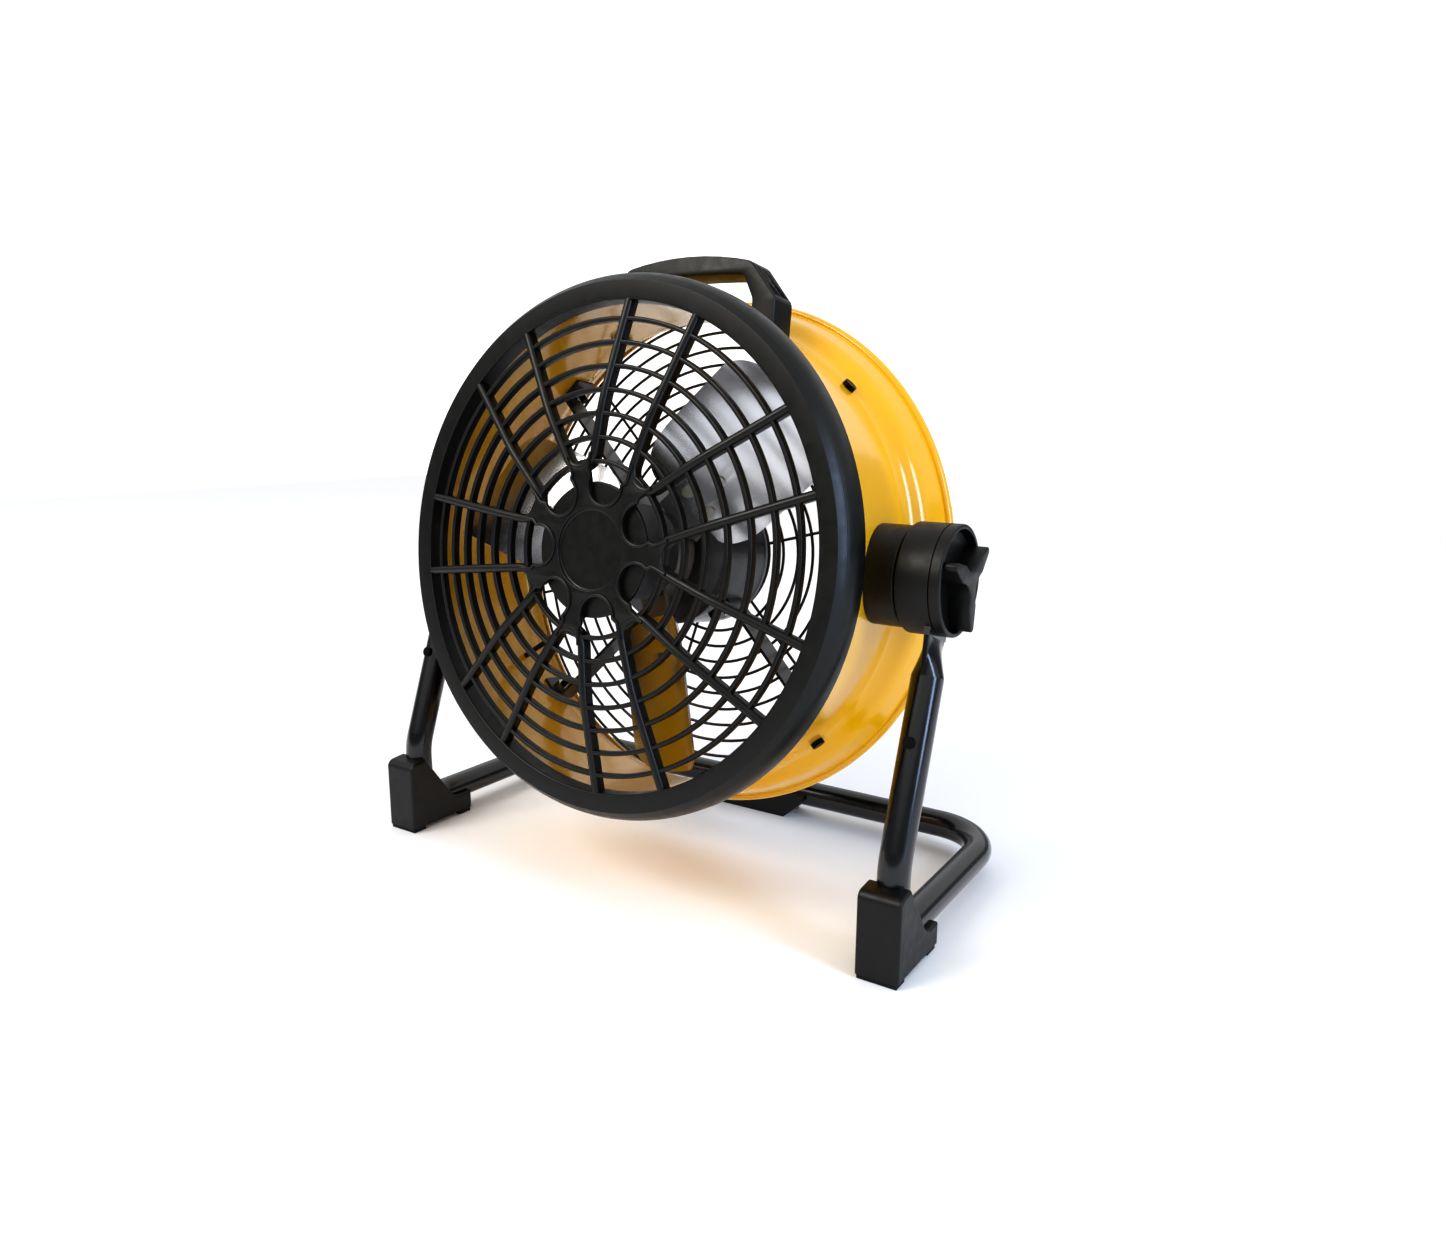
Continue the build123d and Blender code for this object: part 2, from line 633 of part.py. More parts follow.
with BuildPart(HEAD) as rear_guard:
    with BuildSketch(SECTION):
        for ring in range(GUARD_RINGS):
            radius = GUARD_PLATE_R + (GUARD_RING_R - GUARD_PLATE_R) * (ring + 1) / GUARD_RINGS
            with Locations((radius, GUARD_S)):
                Circle(WIRE_R)
    revolve(axis=HEAD_AXIS)
    with Locations((0, 0, GUARD_S)):
        Cylinder(GUARD_PLATE_R, 2 * WIRE_R)
    spoke_l = GUARD_RING_R - GUARD_PLATE_R + 6
    with PolarLocations(0, GUARD_SPOKES, start_angle=GUARD_SPOKE_ANGLE):
        with Locations(Location((GUARD_PLATE_R - 6, 0, GUARD_S - 1.6 * WIRE_R), (0, 90, 0))):
            Cylinder(WIRE_R, spoke_l, align=UP)
save(rear_guard, "rear_guard")

# Saddle clips screwed to the rear band; each holds the guard's outer ring.
with BuildPart() as guard_clips:
    with BuildSketch(SECTION):
        with BuildLine():
            Polyline(
                (CLIP_IN_R, CLIP_REAR_S),
                (LIP_R - BEAD_R, CLIP_REAR_S),
                (LIP_R - BEAD_R, REAR_S + BEAD_R),
                (band_radius(CLIP_FRONT_S), CLIP_FRONT_S),
                (CLIP_IN_R, CLIP_FRONT_S),
                close=True,
            )
        make_face()
        with Locations((GUARD_RING_R, GUARD_S)):
            Circle(WIRE_R, mode=Mode.SUBTRACT)
    revolve(axis=HEAD_AXIS)
    with BuildSketch(HEAD.offset(CLIP_REAR_S)):
        with PolarLocations(CLIP_IN_R, CLIPS):
            Rectangle(2 * CLIP_W, CLIP_W)
    extrude(amount=CLIP_FRONT_S - CLIP_REAR_S, mode=Mode.INTERSECT)
    add(drum_shell.part, mode=Mode.SUBTRACT)
    with Locations(*clip_screw_planes()):
        Cylinder(CLIP_SCREW_R, 8 * SHEET, mode=Mode.SUBTRACT)
save(guard_clips, "guard_clips")

with BuildPart() as clip_screws:
    for place in clip_screw_planes():
        with Locations(place.offset(SHEET / 2)):
            Cylinder(CLIP_SCREW_HEAD_R, CLIP_SCREW_HEAD_H, align=UP)
            Cylinder(CLIP_SCREW_R, CLIP_SCREW_L, align=DOWN)
save(clip_screws, "clip_screws")

# ---------------------------------------------------------------- motor

with BuildPart() as motor_body:
    with BuildSketch(SECTION):
        with BuildLine():
            Polyline(*tube_section(MOTOR_FRONT_S, MOTOR_REAR_S, MOTOR_R, MOTOR_R - MOTOR_WALL), close=True)
        make_face()
    revolve(axis=HEAD_AXIS)
    for angle in ARM_ANGLES:
        with Locations(radial_plane(angle, ARM_S, MOTOR_R)):
            Cylinder(MOTOR_SCREW_R, 4 * MOTOR_WALL, mode=Mode.SUBTRACT)
save(motor_body, "motor_body")

for name, face, way in (("front", MOTOR_FRONT_S, 1), ("rear", MOTOR_REAR_S, -1)):
    bore = SHAFT_R + 1.5 if way > 0 else 0
    bell = [
        (bore, face + way * BELL_T),
        (BEARING_R + BELL_WALL, face + way * BELL_T),
        (MOTOR_R - 6, face + way * BELL_WALL),
        (MOTOR_R, face + way * BELL_WALL),
        (MOTOR_R, face),
        (BEARING_R + BELL_WALL, face),
        (BEARING_R + BELL_WALL, face - way * (BEARING_W - BELL_T + BELL_WALL)),
        (BEARING_R, face - way * (BEARING_W - BELL_T + BELL_WALL)),
        (BEARING_R, face + way * (BELL_T - BELL_WALL)),
        (bore, face + way * (BELL_T - BELL_WALL)),
    ]
    save(revolved(bell), f"motor_bell_{name}")

with BuildPart() as motor_bearings:
    for start, way in ((MOTOR_FRONT_S, 1), (MOTOR_REAR_S, -1)):
        outer_end = start + way * (BELL_T - BELL_WALL)
        section = tube_section(outer_end, outer_end - way * BEARING_W, BEARING_R, SHAFT_R + RUN)
        with BuildSketch(SECTION):
            with BuildLine():
                Polyline(*section, close=True)
            make_face()
        revolve(axis=HEAD_AXIS)
save(motor_bearings, "motor_bearings")

core0 = (MOTOR_FRONT_S + MOTOR_REAR_S + CORE_L) / 2
core1 = core0 - CORE_L
save(revolved(tube_section(core0, core1, MOTOR_R - MOTOR_WALL, ROTOR_R + AIR_GAP)), "stator_core")
with BuildPart() as stator_windings:
    for start, end in ((core0, core0 + WINDING_T), (core1 - WINDING_T, core1)):
        with BuildSketch(SECTION):
            with Locations(((ROTOR_R + MOTOR_R - MOTOR_WALL) / 2, (start + end) / 2)):
                RectangleRounded(WINDING_W, WINDING_T, 2.5)
        revolve(axis=HEAD_AXIS)
save(stator_windings, "stator_windings")
save(revolved(tube_section(core0, core1, ROTOR_R, SHAFT_R)), "rotor_core")

with BuildPart() as motor_shaft:
    with BuildSketch(SECTION):
        with BuildLine():
            Polyline(
                (0, SHAFT_END_S),
                (SHAFT_R, SHAFT_END_S),
                (SHAFT_R, SHAFT_TIP_S - 1),
                (SHAFT_R - 1, SHAFT_TIP_S),
                (0, SHAFT_TIP_S),
                close=True,
            )
        make_face()
    revolve(axis=HEAD_AXIS)
save(motor_shaft, "motor_shaft")

# Four strips, edge-on to the air, hold the motor in the drum. Each has a tab at either end.
for number, angle in enumerate(ARM_ANGLES, start=1):
    place = radial_plane(angle, ARM_S, 0)
    with BuildPart() as arm:
        with BuildSketch(place.offset(MOTOR_R - ARM_T)):
            with Locations((0, (ARM_T - ARM_TAB) / 2)):
                Rectangle(ARM_W, ARM_T)
        extrude(amount=INNER_R - MOTOR_R + 2 * ARM_T)
        for radius in (MOTOR_R - ARM_T, INNER_R - ARM_T - TAB_SAG):
            with BuildSketch(place.offset(radius)):
                Rectangle(ARM_W, ARM_TAB)
            extrude(amount=2 * ARM_T)
        with BuildSketch(SECTION):
            with Locations(((MOTOR_R + INNER_R) / 2, ARM_S)):
                Rectangle(INNER_R - MOTOR_R, 2 * ARM_W)
        revolve(axis=HEAD_AXIS, mode=Mode.INTERSECT)
        with Locations(place.offset(INNER_R)):
            Cylinder(BOLT_R + SLIP, 6 * ARM_T, mode=Mode.SUBTRACT)
        with Locations(place.offset(MOTOR_R)):
            Cylinder(MOTOR_SCREW_R + SLIP, 4 * ARM_T, mode=Mode.SUBTRACT)
    save(arm, f"motor_arm_{number}")

with BuildPart() as arm_bolts:
    for angle in ARM_ANGLES:
        with Locations(radial_plane(angle, ARM_S, DRUM_R + SEAT)):
            Cylinder(BOLT_HEAD_R, BOLT_HEAD_H, align=UP)
            Cylinder(BOLT_R, BOLT_L, align=DOWN)
save(arm_bolts, "arm_bolts")

with BuildPart() as arm_nuts:
    for angle in ARM_ANGLES:
        with BuildSketch(radial_plane(angle, ARM_S, INNER_R - ARM_T - TAB_SAG)):
            RegularPolygon(NUT_R, 6)
            Circle(BOLT_R, mode=Mode.SUBTRACT)
        extrude(amount=-NUT_H)
save(arm_nuts, "arm_nuts")

with BuildPart() as motor_screws:
    for angle in ARM_ANGLES:
        with Locations(radial_plane(angle, ARM_S, MOTOR_R + ARM_T + SEAT)):
            Cylinder(MOTOR_SCREW_HEAD_R, MOTOR_SCREW_HEAD_H, align=UP)
            Cylinder(MOTOR_SCREW_R, ARM_T + MOTOR_WALL, align=DOWN)
save(motor_screws, "motor_screws")

# ---------------------------------------------------------------- fan


def camber_band(width, setback, thickness):
    """Arc-shaped section of the blade's sheet, or of one that lies behind it."""
    half = width / 2
    sag = CAMBER_R - sqrt((CAMBER_R + setback) ** 2 - half**2)
    with BuildLine() as bow:
        ThreePointArc((-half, sag), (0, -setback), (half, sag))
    trace(bow.line, line_width=thickness)


# One blade along +X with the fan's axis up.
with BuildPart() as blade:
    with BuildSketch(CHORD.offset(BLADE_ROOT_R)):
        camber_band(BLADE_W + 20, 0, BLADE_T)
    extrude(amount=BLADE_TIP_R - BLADE_ROOT_R)
    with BuildSketch(Plane.XY.offset(-BLADE_W)) as outline:
        with BuildLine():
            root_line = Line((BLADE_ROOT_R, -BLADE_ROOT_W / 2), (BLADE_ROOT_R, BLADE_ROOT_W / 2))
            lead = Spline(root_line @ 1, (BLADE_MID_R, BLADE_HALF_Y), tangents=[(0.5, 1), (1, 0)])
            side_b = Line(lead @ 1, (BLADE_TIP_EDGE_R, BLADE_HALF_Y))
            tip = ThreePointArc(side_b @ 1, (BLADE_TIP_R, 0), (BLADE_TIP_EDGE_R, -BLADE_HALF_Y))
            side_a = Line(tip @ 1, (BLADE_MID_R, -BLADE_HALF_Y))
            Spline(side_a @ 1, root_line @ 0, tangents=[(-1, 0), (-0.5, 1)])
        make_face()
        fillet(outline.vertices().group_by(Axis.X)[-1], BLADE_CORNER)
    extrude(amount=2 * BLADE_W, mode=Mode.INTERSECT)
    with Locations(*rivet_planes()):
        Cylinder(RIVET_R + SLIP, 8 * BLADE_T, mode=Mode.SUBTRACT)

for number in range(1, BLADES + 1):
    with BuildPart(HEAD) as one_blade:
        with PolarLocations(0, 1, start_angle=BLADE_ANGLE + (number - 1) * 360 / BLADES):
            with Locations((0, 0, BLADE_S)):
                add(blade.part)
    save(one_blade, f"fan_blade_{number}")

# The spider's arms lie behind the blades; a flat disc joins them to the boss.
with BuildPart() as spider_arm:
    with BuildSketch(CHORD.offset(SPIDER_R - SPIDER_T / 2)):
        camber_band(SPIDER_ARM_W, (BLADE_T + SPIDER_T) / 2, SPIDER_T)
    extrude(amount=SPIDER_ARM_R - SPIDER_R + SPIDER_T / 2)
    with Locations(*rivet_planes()):
        Cylinder(RIVET_R + SLIP, 8 * BLADE_T, mode=Mode.SUBTRACT)

with BuildPart(HEAD) as fan_spider:
    with PolarLocations(0, BLADES, start_angle=BLADE_ANGLE):
        with Locations((0, 0, BLADE_S)):
            add(spider_arm.part)
    with Locations((0, 0, BLADE_S + SPIDER_L / 2)):
        Cylinder(SPIDER_R, SPIDER_L, align=DOWN)
    with Locations((0, 0, BLADE_S + SPIDER_L / 2 - SPIDER_T)):
        Cylinder(SPIDER_R - SPIDER_T, SPIDER_L, align=DOWN, mode=Mode.SUBTRACT)
    with Locations((0, 0, BLADE_S)):
        Cylinder(BOSS_R, BOSS_L)
        Cylinder(SHAFT_R, 2 * BOSS_L, mode=Mode.SUBTRACT)
save(fan_spider, "fan_spider")

with BuildPart() as rivet_set:
    with Locations(*rivet_planes()):
        with Locations((0, 0, -(BLADE_T / 2 + SPIDER_T))):
            Cylinder(RIVET_R, BLADE_T + SPIDER_T + RIVET_HEAD_H, align=UP)
            Cylinder(RIVET_HEAD_R, RIVET_HEAD_H, align=DOWN)
        with Locations((0, 0, BLADE_T / 2 + SEAT)):
            Cylinder(RIVET_HEAD_R, RIVET_HEAD_H, align=UP)

with BuildPart(HEAD) as blade_rivets:
    with PolarLocations(0, BLADES, start_angle=BLADE_ANGLE):
        with Locations((0, 0, BLADE_S)):
            add(rivet_set.part)
save(blade_rivets, "blade_rivets")

with BuildPart() as fan_nut:
    with BuildSketch(HEAD.offset(BLADE_S + BOSS_L / 2)):
        RegularPolygon(FAN_NUT_R, 6)
        Circle(SHAFT_R, mode=Mode.SUBTRACT)
    extrude(amount=FAN_NUT_H)
save(fan_nut, "fan_nut")

# ---------------------------------------------------------------- pivots

for name, side in SIDES.items():
    # Moulded housing that seats on the curved wall of the drum.
    with BuildPart() as pod:
        with BuildSketch(PIVOT.offset(side * POD_ROOT_X)):
            Circle(POD_R)
        extrude(amount=side * (POD_OUT_X - POD_ROOT_X))
        fillet(pod.edges().filter_by(GeomType.CIRCLE).group_by(Axis.X)[-1 if side > 0 else 0], POD_ROUND)
        with BuildSketch(PIVOT.offset(side * POD_ROOT_X)):
            Circle(POD_R - POD_WALL)
            Circle(POD_BOSS_R, mode=Mode.SUBTRACT)
        extrude(amount=side * (POD_OUT_X - POD_ROOT_X - POD_WALL), mode=Mode.SUBTRACT)
        with BuildSketch(SECTION):
            with Locations((DRUM_R / 2, 0)):
                Rectangle(DRUM_R, 4 * POD_R)
        revolve(axis=HEAD_AXIS, mode=Mode.SUBTRACT)
        add(drum_shell.part, mode=Mode.SUBTRACT)
        with Locations(PIVOT.offset(side * POD_OUT_X)):
            Cylinder(PIVOT_BOLT_R + SLIP, 4 * POD_R, mode=Mode.SUBTRACT)
    save(pod, f"pivot_housing_{name}")

    with BuildPart() as washer:
        with BuildSketch(PIVOT.offset(side * POD_OUT_X)):
            Circle(WASHER_R)
            Circle(PIVOT_BOLT_R + SLIP, mode=Mode.SUBTRACT)
        extrude(amount=side * WASHER_T)
    save(washer, f"friction_washer_{name}")

    # Cap over the eye of the leg, open at the bottom for the leg.
    with BuildPart() as cap:
        with BuildSketch(PIVOT.offset(side * CAP_IN_X)):
            Circle(CAP_R)
            Circle(PIVOT_BOLT_R + RUN, mode=Mode.SUBTRACT)
        extrude(amount=side * (CAP_OUT_X - CAP_IN_X))
        fillet(cap.edges().filter_by(GeomType.CIRCLE).group_by(Axis.X)[0 if side > 0 else -1], POD_ROUND)
        with BuildSketch(PIVOT.offset(side * (STAND_HALF - FLAT_T / 2))):
            Circle(FLAT_W / 2)
            with Locations(Rotation(0, 0, -LEG_LEAN) * Pos(0, -CAP_R)):
                Rectangle(FLAT_W, 2 * CAP_R)
        extrude(amount=side * FLAT_T, mode=Mode.SUBTRACT)
    save(cap, f"leg_cap_{name}")

    with BuildPart() as bolt:
        with BuildSketch(PIVOT.offset(side * (INNER_R - PIVOT_SEAT))):
            Circle(PIVOT_BOLT_R)
        extrude(amount=side * (KNOB_OUT_X - KNOB_DISH - INNER_R + PIVOT_SEAT))
        with BuildSketch(PIVOT.offset(side * (INNER_R - PIVOT_SEAT))):
            Circle(PIVOT_HEAD_R)
        extrude(amount=-side * PIVOT_HEAD_H)
    save(bolt, f"pivot_bolt_{name}")

    # Three-winged knob: a shallow cup with a Y-shaped grip standing out of it.
    with BuildPart() as knob:
        with BuildSketch(PIVOT.offset(side * (CAP_OUT_X + GAP))):
            Circle(CAP_R)
        extrude(amount=side * (KNOB_OUT_X - CAP_OUT_X - GAP))
        with BuildSketch(PIVOT.offset(side * KNOB_OUT_X)):
            Circle(CAP_R - KNOB_WALL)
        extrude(amount=-side * KNOB_DISH, mode=Mode.SUBTRACT)
        with BuildSketch(PIVOT.offset(side * (KNOB_OUT_X - KNOB_DISH))):
            Circle(KNOB_BOSS_R)
            for wing in WING_ANGLES:
                with Locations(Rotation(0, 0, wing) * Pos(WING_R / 2, 0)):
                    Rectangle(WING_R, WING_T)
        extrude(amount=side * (KNOB_WING_X - KNOB_OUT_X + KNOB_DISH))
        with Locations(PIVOT.offset(side * CAP_OUT_X)):
            Cylinder(PIVOT_BOLT_R + RUN, 2 * (KNOB_OUT_X - KNOB_SKIN - CAP_OUT_X), mode=Mode.SUBTRACT)
    save(knob, f"knob_{name}")

# ---------------------------------------------------------------- handle

with BuildPart() as handle:
    with BuildSketch(HEAD.offset(HANDLE_FRONT_S)):
        with BuildLine():
            left = Polyline(
                (-HANDLE_EDGE_X, HANDLE_EDGE_Y),
                (-HANDLE_HALF, HANDLE_KNEE_Y),
                (-HANDLE_HALF, HANDLE_FOOT_Y),
                (HANDLE_HALF, HANDLE_FOOT_Y),
                (HANDLE_HALF, HANDLE_KNEE_Y),
                (HANDLE_EDGE_X, HANDLE_EDGE_Y),
            )
            ThreePointArc(left @ 1, (0, HANDLE_TOP), left @ 0)
        make_face()
        with BuildLine():
            inner = Polyline(
                (-OPEN_TOP_HALF, HANDLE_TOP - GRIP_T - 1.5),
                (-OPEN_HALF, HANDLE_KNEE_Y),
                (-OPEN_HALF, HANDLE_FOOT_Y - 10),
                (OPEN_HALF, HANDLE_FOOT_Y - 10),
                (OPEN_HALF, HANDLE_KNEE_Y),
                (OPEN_TOP_HALF, HANDLE_TOP - GRIP_T - 1.5),
            )
            ThreePointArc(inner @ 1, (0, HANDLE_TOP - GRIP_T), inner @ 0)
        make_face(mode=Mode.SUBTRACT)
    extrude(amount=-HANDLE_D)
    with BuildSketch(SECTION):
        with Locations((DRUM_R / 2, HANDLE_FRONT_S)):
            Rectangle(DRUM_R, 4 * HANDLE_D)
    revolve(axis=HEAD_AXIS, mode=Mode.SUBTRACT)
    for place in handle_screw_planes(DRUM_R):
        with Locations(place):
            Cylinder(HANDLE_SCREW_R, 2 * HANDLE_SCREW_L, mode=Mode.SUBTRACT)
save(handle, "handle")

with BuildPart() as handle_screws:
    for place in handle_screw_planes(INNER_R - SEAT):
        with Locations(place):
            Cylinder(HANDLE_SCREW_R, HANDLE_SCREW_L, align=UP)
            Cylinder(HANDLE_SCREW_HEAD_R, HANDLE_SCREW_HEAD_H, align=DOWN)
save(handle_screws, "handle_screws")

# ---------------------------------------------------------------- control box

LID_SCREW_GRID = (BOX_L - 2 * LID_SCREW_INSET, BOX_W - 2 * LID_SCREW_INSET, 2, 2)
with BuildPart() as control_box:
    with BuildSketch(BOX):
        RectangleRounded(BOX_L, BOX_W, BOX_ROUND)
    extrude(amount=-BOX_DEPTH)
    with BuildSketch(BOX):
        RectangleRounded(BOX_L - 2 * BOX_WALL, BOX_W - 2 * BOX_WALL, BOX_ROUND - BOX_WALL)
        with GridLocations(*LID_SCREW_GRID):
            Circle(LID_POST_R, mode=Mode.SUBTRACT)
    extrude(amount=-BOX_DEPTH, mode=Mode.SUBTRACT)
    with BuildSketch(BOX):
        with GridLocations(*LID_SCREW_GRID):
            Circle(LID_SCREW_R)
    extrude(amount=-LID_SCREW_L, mode=Mode.SUBTRACT)
    with BuildSketch(SECTION):
        with Locations((DRUM_R / 2, BOX_S)):
            Rectangle(DRUM_R, 3 * BOX_L)
    revolve(axis=HEAD_AXIS, mode=Mode.SUBTRACT)
    with Locations(box_plane(-BOX_L / 2, GLAND_Y, GLAND_DROP, -BOX.x_dir)):
        Cylinder(GLAND_R - 2 + SLIP, 4 * BOX_WALL, mode=Mode.SUBTRACT)
save(control_box, "control_box")

with BuildPart() as control_box_lid:
    with BuildSketch(BOX):
        RectangleRounded(BOX_L, BOX_W, BOX_ROUND)
        Circle(SPINDLE_R + RUN, mode=Mode.SUBTRACT)
        with GridLocations(*LID_SCREW_GRID):
            Circle(LID_SCREW_R + SLIP, mode=Mode.SUBTRACT)
    extrude(amount=LID_T)
save(control_box_lid, "control_box_lid")

with BuildPart() as lid_screws:
    with BuildSketch(BOX.offset(LID_T)):
        with GridLocations(*LID_SCREW_GRID):
            Circle(LID_SCREW_HEAD_R)
    extrude(amount=LID_SCREW_HEAD_H)
    with BuildSketch(BOX.offset(LID_T)):
        with GridLocations(*LID_SCREW_GRID):
            Circle(LID_SCREW_R)
    extrude(amount=-LID_SCREW_L)
save(lid_screws, "lid_screws")

with BuildPart() as rotary_switch:
    with BuildSketch(BOX):
        Circle(SWITCH_R)
        Circle(SPINDLE_R + RUN, mode=Mode.SUBTRACT)
    extrude(amount=-SWITCH_H)
save(rotary_switch, "rotary_switch")

with BuildPart() as speed_dial:
    with BuildSketch(BOX.offset(-SWITCH_H + 2)):
        Circle(SPINDLE_R)
    extrude(amount=SWITCH_H + LID_T)
    with BuildSketch(BOX.offset(LID_T + GAP)):
        Circle(DIAL_R)
    extrude(amount=DIAL_H / 3)
    with BuildSketch(BOX.offset(LID_T + GAP)):
        RectangleRounded(2 * DIAL_R - 4, DIAL_BAR_W, DIAL_BAR_W / 2 - 0.5)
    extrude(amount=DIAL_H)
save(speed_dial, "speed_dial")

with BuildPart() as run_capacitor:
    with Locations(box_plane(0, CAPACITOR_Y, CAPACITOR_DROP, BOX.x_dir)):
        Cylinder(CAPACITOR_R, CAPACITOR_L)
save(run_capacitor, "run_capacitor")

with BuildPart() as cord_gland:
    with Locations(box_plane(-BOX_L / 2, GLAND_Y, GLAND_DROP, -BOX.x_dir)):
        Cylinder(GLAND_R, GLAND_L, align=UP)
        Cylinder(GLAND_R - 2, 2 * BOX_WALL, align=DOWN)
        Cylinder(GLAND_BORE_R, 4 * GLAND_L, mode=Mode.SUBTRACT)
save(cord_gland, "cord_gland")

# Lead from the motor, pulled straight through the wall of the drum into the box.
with BuildPart() as motor_lead:
    with Locations(radial_plane(BOX_ANGLE, LEAD_S, MOTOR_R)):
        Cylinder(LEAD_R, DRUM_R + 4 - MOTOR_R, align=UP)
save(motor_lead, "motor_lead")
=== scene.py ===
"""Looks of a portable axial air mover: a steel drum fan on a bent-tube stand."""

import json
from math import atan, cos, pi, radians, sin, sqrt

import bpy
from bpy.props import FloatProperty, FloatVectorProperty, IntProperty, PointerProperty, StringProperty
from bpy.types import Operator, Panel, PropertyGroup
from mathutils import Matrix, Vector
from mathutils.geometry import tessellate_polygon


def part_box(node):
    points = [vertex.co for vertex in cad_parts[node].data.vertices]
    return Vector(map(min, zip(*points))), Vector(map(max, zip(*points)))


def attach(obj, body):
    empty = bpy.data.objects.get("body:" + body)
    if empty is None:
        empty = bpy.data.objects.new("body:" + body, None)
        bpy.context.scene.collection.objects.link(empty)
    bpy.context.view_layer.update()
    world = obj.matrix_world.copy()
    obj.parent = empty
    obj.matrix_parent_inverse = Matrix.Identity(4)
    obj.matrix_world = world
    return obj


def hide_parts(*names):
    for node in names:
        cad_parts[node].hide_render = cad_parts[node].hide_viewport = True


bl_info = {
    "name": "Axial air mover",
    "version": (1, 0, 0),
    "blender": (4, 5, 0),
    "location": "3D View > Sidebar > Air mover",
    "description": "Builds the mouldings and finishes of a portable drum fan on its frame",
    "category": "Object",
}

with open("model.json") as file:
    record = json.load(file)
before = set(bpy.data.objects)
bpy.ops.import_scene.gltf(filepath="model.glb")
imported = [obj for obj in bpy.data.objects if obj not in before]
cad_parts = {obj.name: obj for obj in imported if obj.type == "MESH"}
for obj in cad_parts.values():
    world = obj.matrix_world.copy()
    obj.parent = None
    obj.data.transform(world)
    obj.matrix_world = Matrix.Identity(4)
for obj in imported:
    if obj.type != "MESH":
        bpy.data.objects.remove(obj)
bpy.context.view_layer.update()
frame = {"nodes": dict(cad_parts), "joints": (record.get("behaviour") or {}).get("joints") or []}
JOINTS = {joint["name"]: joint for joint in frame["joints"]}
MM = 0.001
NAVEL = 0.0002  # radius that stands for the middle of a turned disc

# The head's own frame: x to the right, y up across the drum, z along its axis to the outlet.
PIVOT = Vector(JOINTS["head_tilt"]["pos_m"])
OUTLET = Vector(JOINTS["fan_spin"]["axis"]).normalized()
HEAD = Matrix.Identity(4)
for column, direction in enumerate((Vector((1, 0, 0)), OUTLET.cross(Vector((1, 0, 0))), OUTLET)):
    HEAD.col[column].xyz = direction
HEAD.translation = PIVOT


# ------------------------------------------------------------------ mesh tools


class Shell:
    """Points and faces of one moulding, gathered from several closed shapes."""

    def __init__(self):
        self.points, self.faces = [], []

    def add(self, points, faces):
        start = len(self.points)
        self.points += [tuple(p) for p in points]
        self.faces += [[start + i for i in face] for face in faces]

    def build(self, name, place, body, material, sharp=32):
        """Makes the object, smooth except where two faces meet at a sharp angle."""
        mesh = bpy.data.meshes.new(name)
        mesh.from_pydata([place @ Vector(p) for p in self.points], [], self.faces)
        mesh.validate()
        mesh.polygons.foreach_set("use_smooth", [True] * len(mesh.polygons))
        mesh.set_sharp_from_angle(angle=radians(sharp))
        mesh.materials.append(material)
        piece = bpy.data.objects.new(name, mesh)
        bpy.context.scene.collection.objects.link(piece)
        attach(piece, body)
        return piece


def rounded(corners, steps=6):
    """A closed outline from (x, y, radius) corners, each rounded to its radius."""
    outline = []
    for i, (x, y, radius) in enumerate(corners):
        here = Vector((x, y))
        back = Vector(corners[i - 1][:2]) - here
        ahead = Vector(corners[(i + 1) % len(corners)][:2]) - here
        if radius == 0:
            outline.append(here)
            continue
        half = back.angle(ahead) / 2
        reach = min(radius / max(abs(sin(half) / cos(half)), 1e-6), back.length * 0.49, ahead.length * 0.49)
        start, end = here + back.normalized() * reach, here + ahead.normalized() * reach
        for step in range(steps + 1):
            t = step / steps
            outline.append((1 - t) ** 2 * start + 2 * t * (1 - t) * here + t**2 * end)
    return outline


def arc(centre, radius, start, end, steps):
    """Points along an arc, from one angle to another in degrees."""
    turns = [radians(start + (end - start) * i / steps) for i in range(steps + 1)]
    return [Vector((centre[0] + radius * cos(a), centre[1] + radius * sin(a))) for a in turns]


def shrunk(loop, amount):
    """The loop moved towards its inside, which lies on its left, by an amount."""
    moved = []
    for i, point in enumerate(loop):
        along = (loop[(i + 1) % len(loop)] - point).normalized() + (point - loop[i - 1]).normalized()
        along = along.normalized() if along.length > 1e-9 else Vector((1, 0))
        moved.append(point + Vector((-along.y, along.x)) * amount)
    return moved


def slab(outline, low, high, edge, holes=(), steps=3):
    """A plate with that outline and those holes, with rounded edges top and bottom."""
    angles = [pi / 2 * i / steps for i in range(steps + 1)]
    levels = [(edge * (1 - sin(a)), edge * (1 - cos(a))) for a in angles]
    heights = [(inset, low + rise) for inset, rise in levels]
    heights += [(inset, high - rise) for inset, rise in reversed(levels)]
    loops = [outline, *[list(reversed(hole)) for hole in holes]]
    points, faces, caps = [], [], ([], [])
    for loop in loops:
        count, start = len(loop), len(points)
        for inset, height in heights:
            points += [(p.x, p.y, height) for p in shrunk(loop, inset)]
        for level in range(len(heights) - 1):
            for i in range(count):
                a, b = start + level * count + i, start + level * count + (i + 1) % count
                faces.append((a, b, b + count, a + count))
        caps[0].append(range(start, start + count))
        caps[1].append(range(start + (len(heights) - 1) * count, start + len(heights) * count))
    for cap, flip in zip(caps, (True, False)):
        index = [i for loop in cap for i in loop]
        for face in tessellate_polygon([[Vector(points[i]) for i in loop] for loop in cap]):
            corners = [index[i] for i in face]
            a, b, c = (Vector(points[i]) for i in corners)
            upward = (b - a).cross(c - a).z > 0
            faces.append(tuple(reversed(corners)) if upward == flip else tuple(corners))
    return points, faces


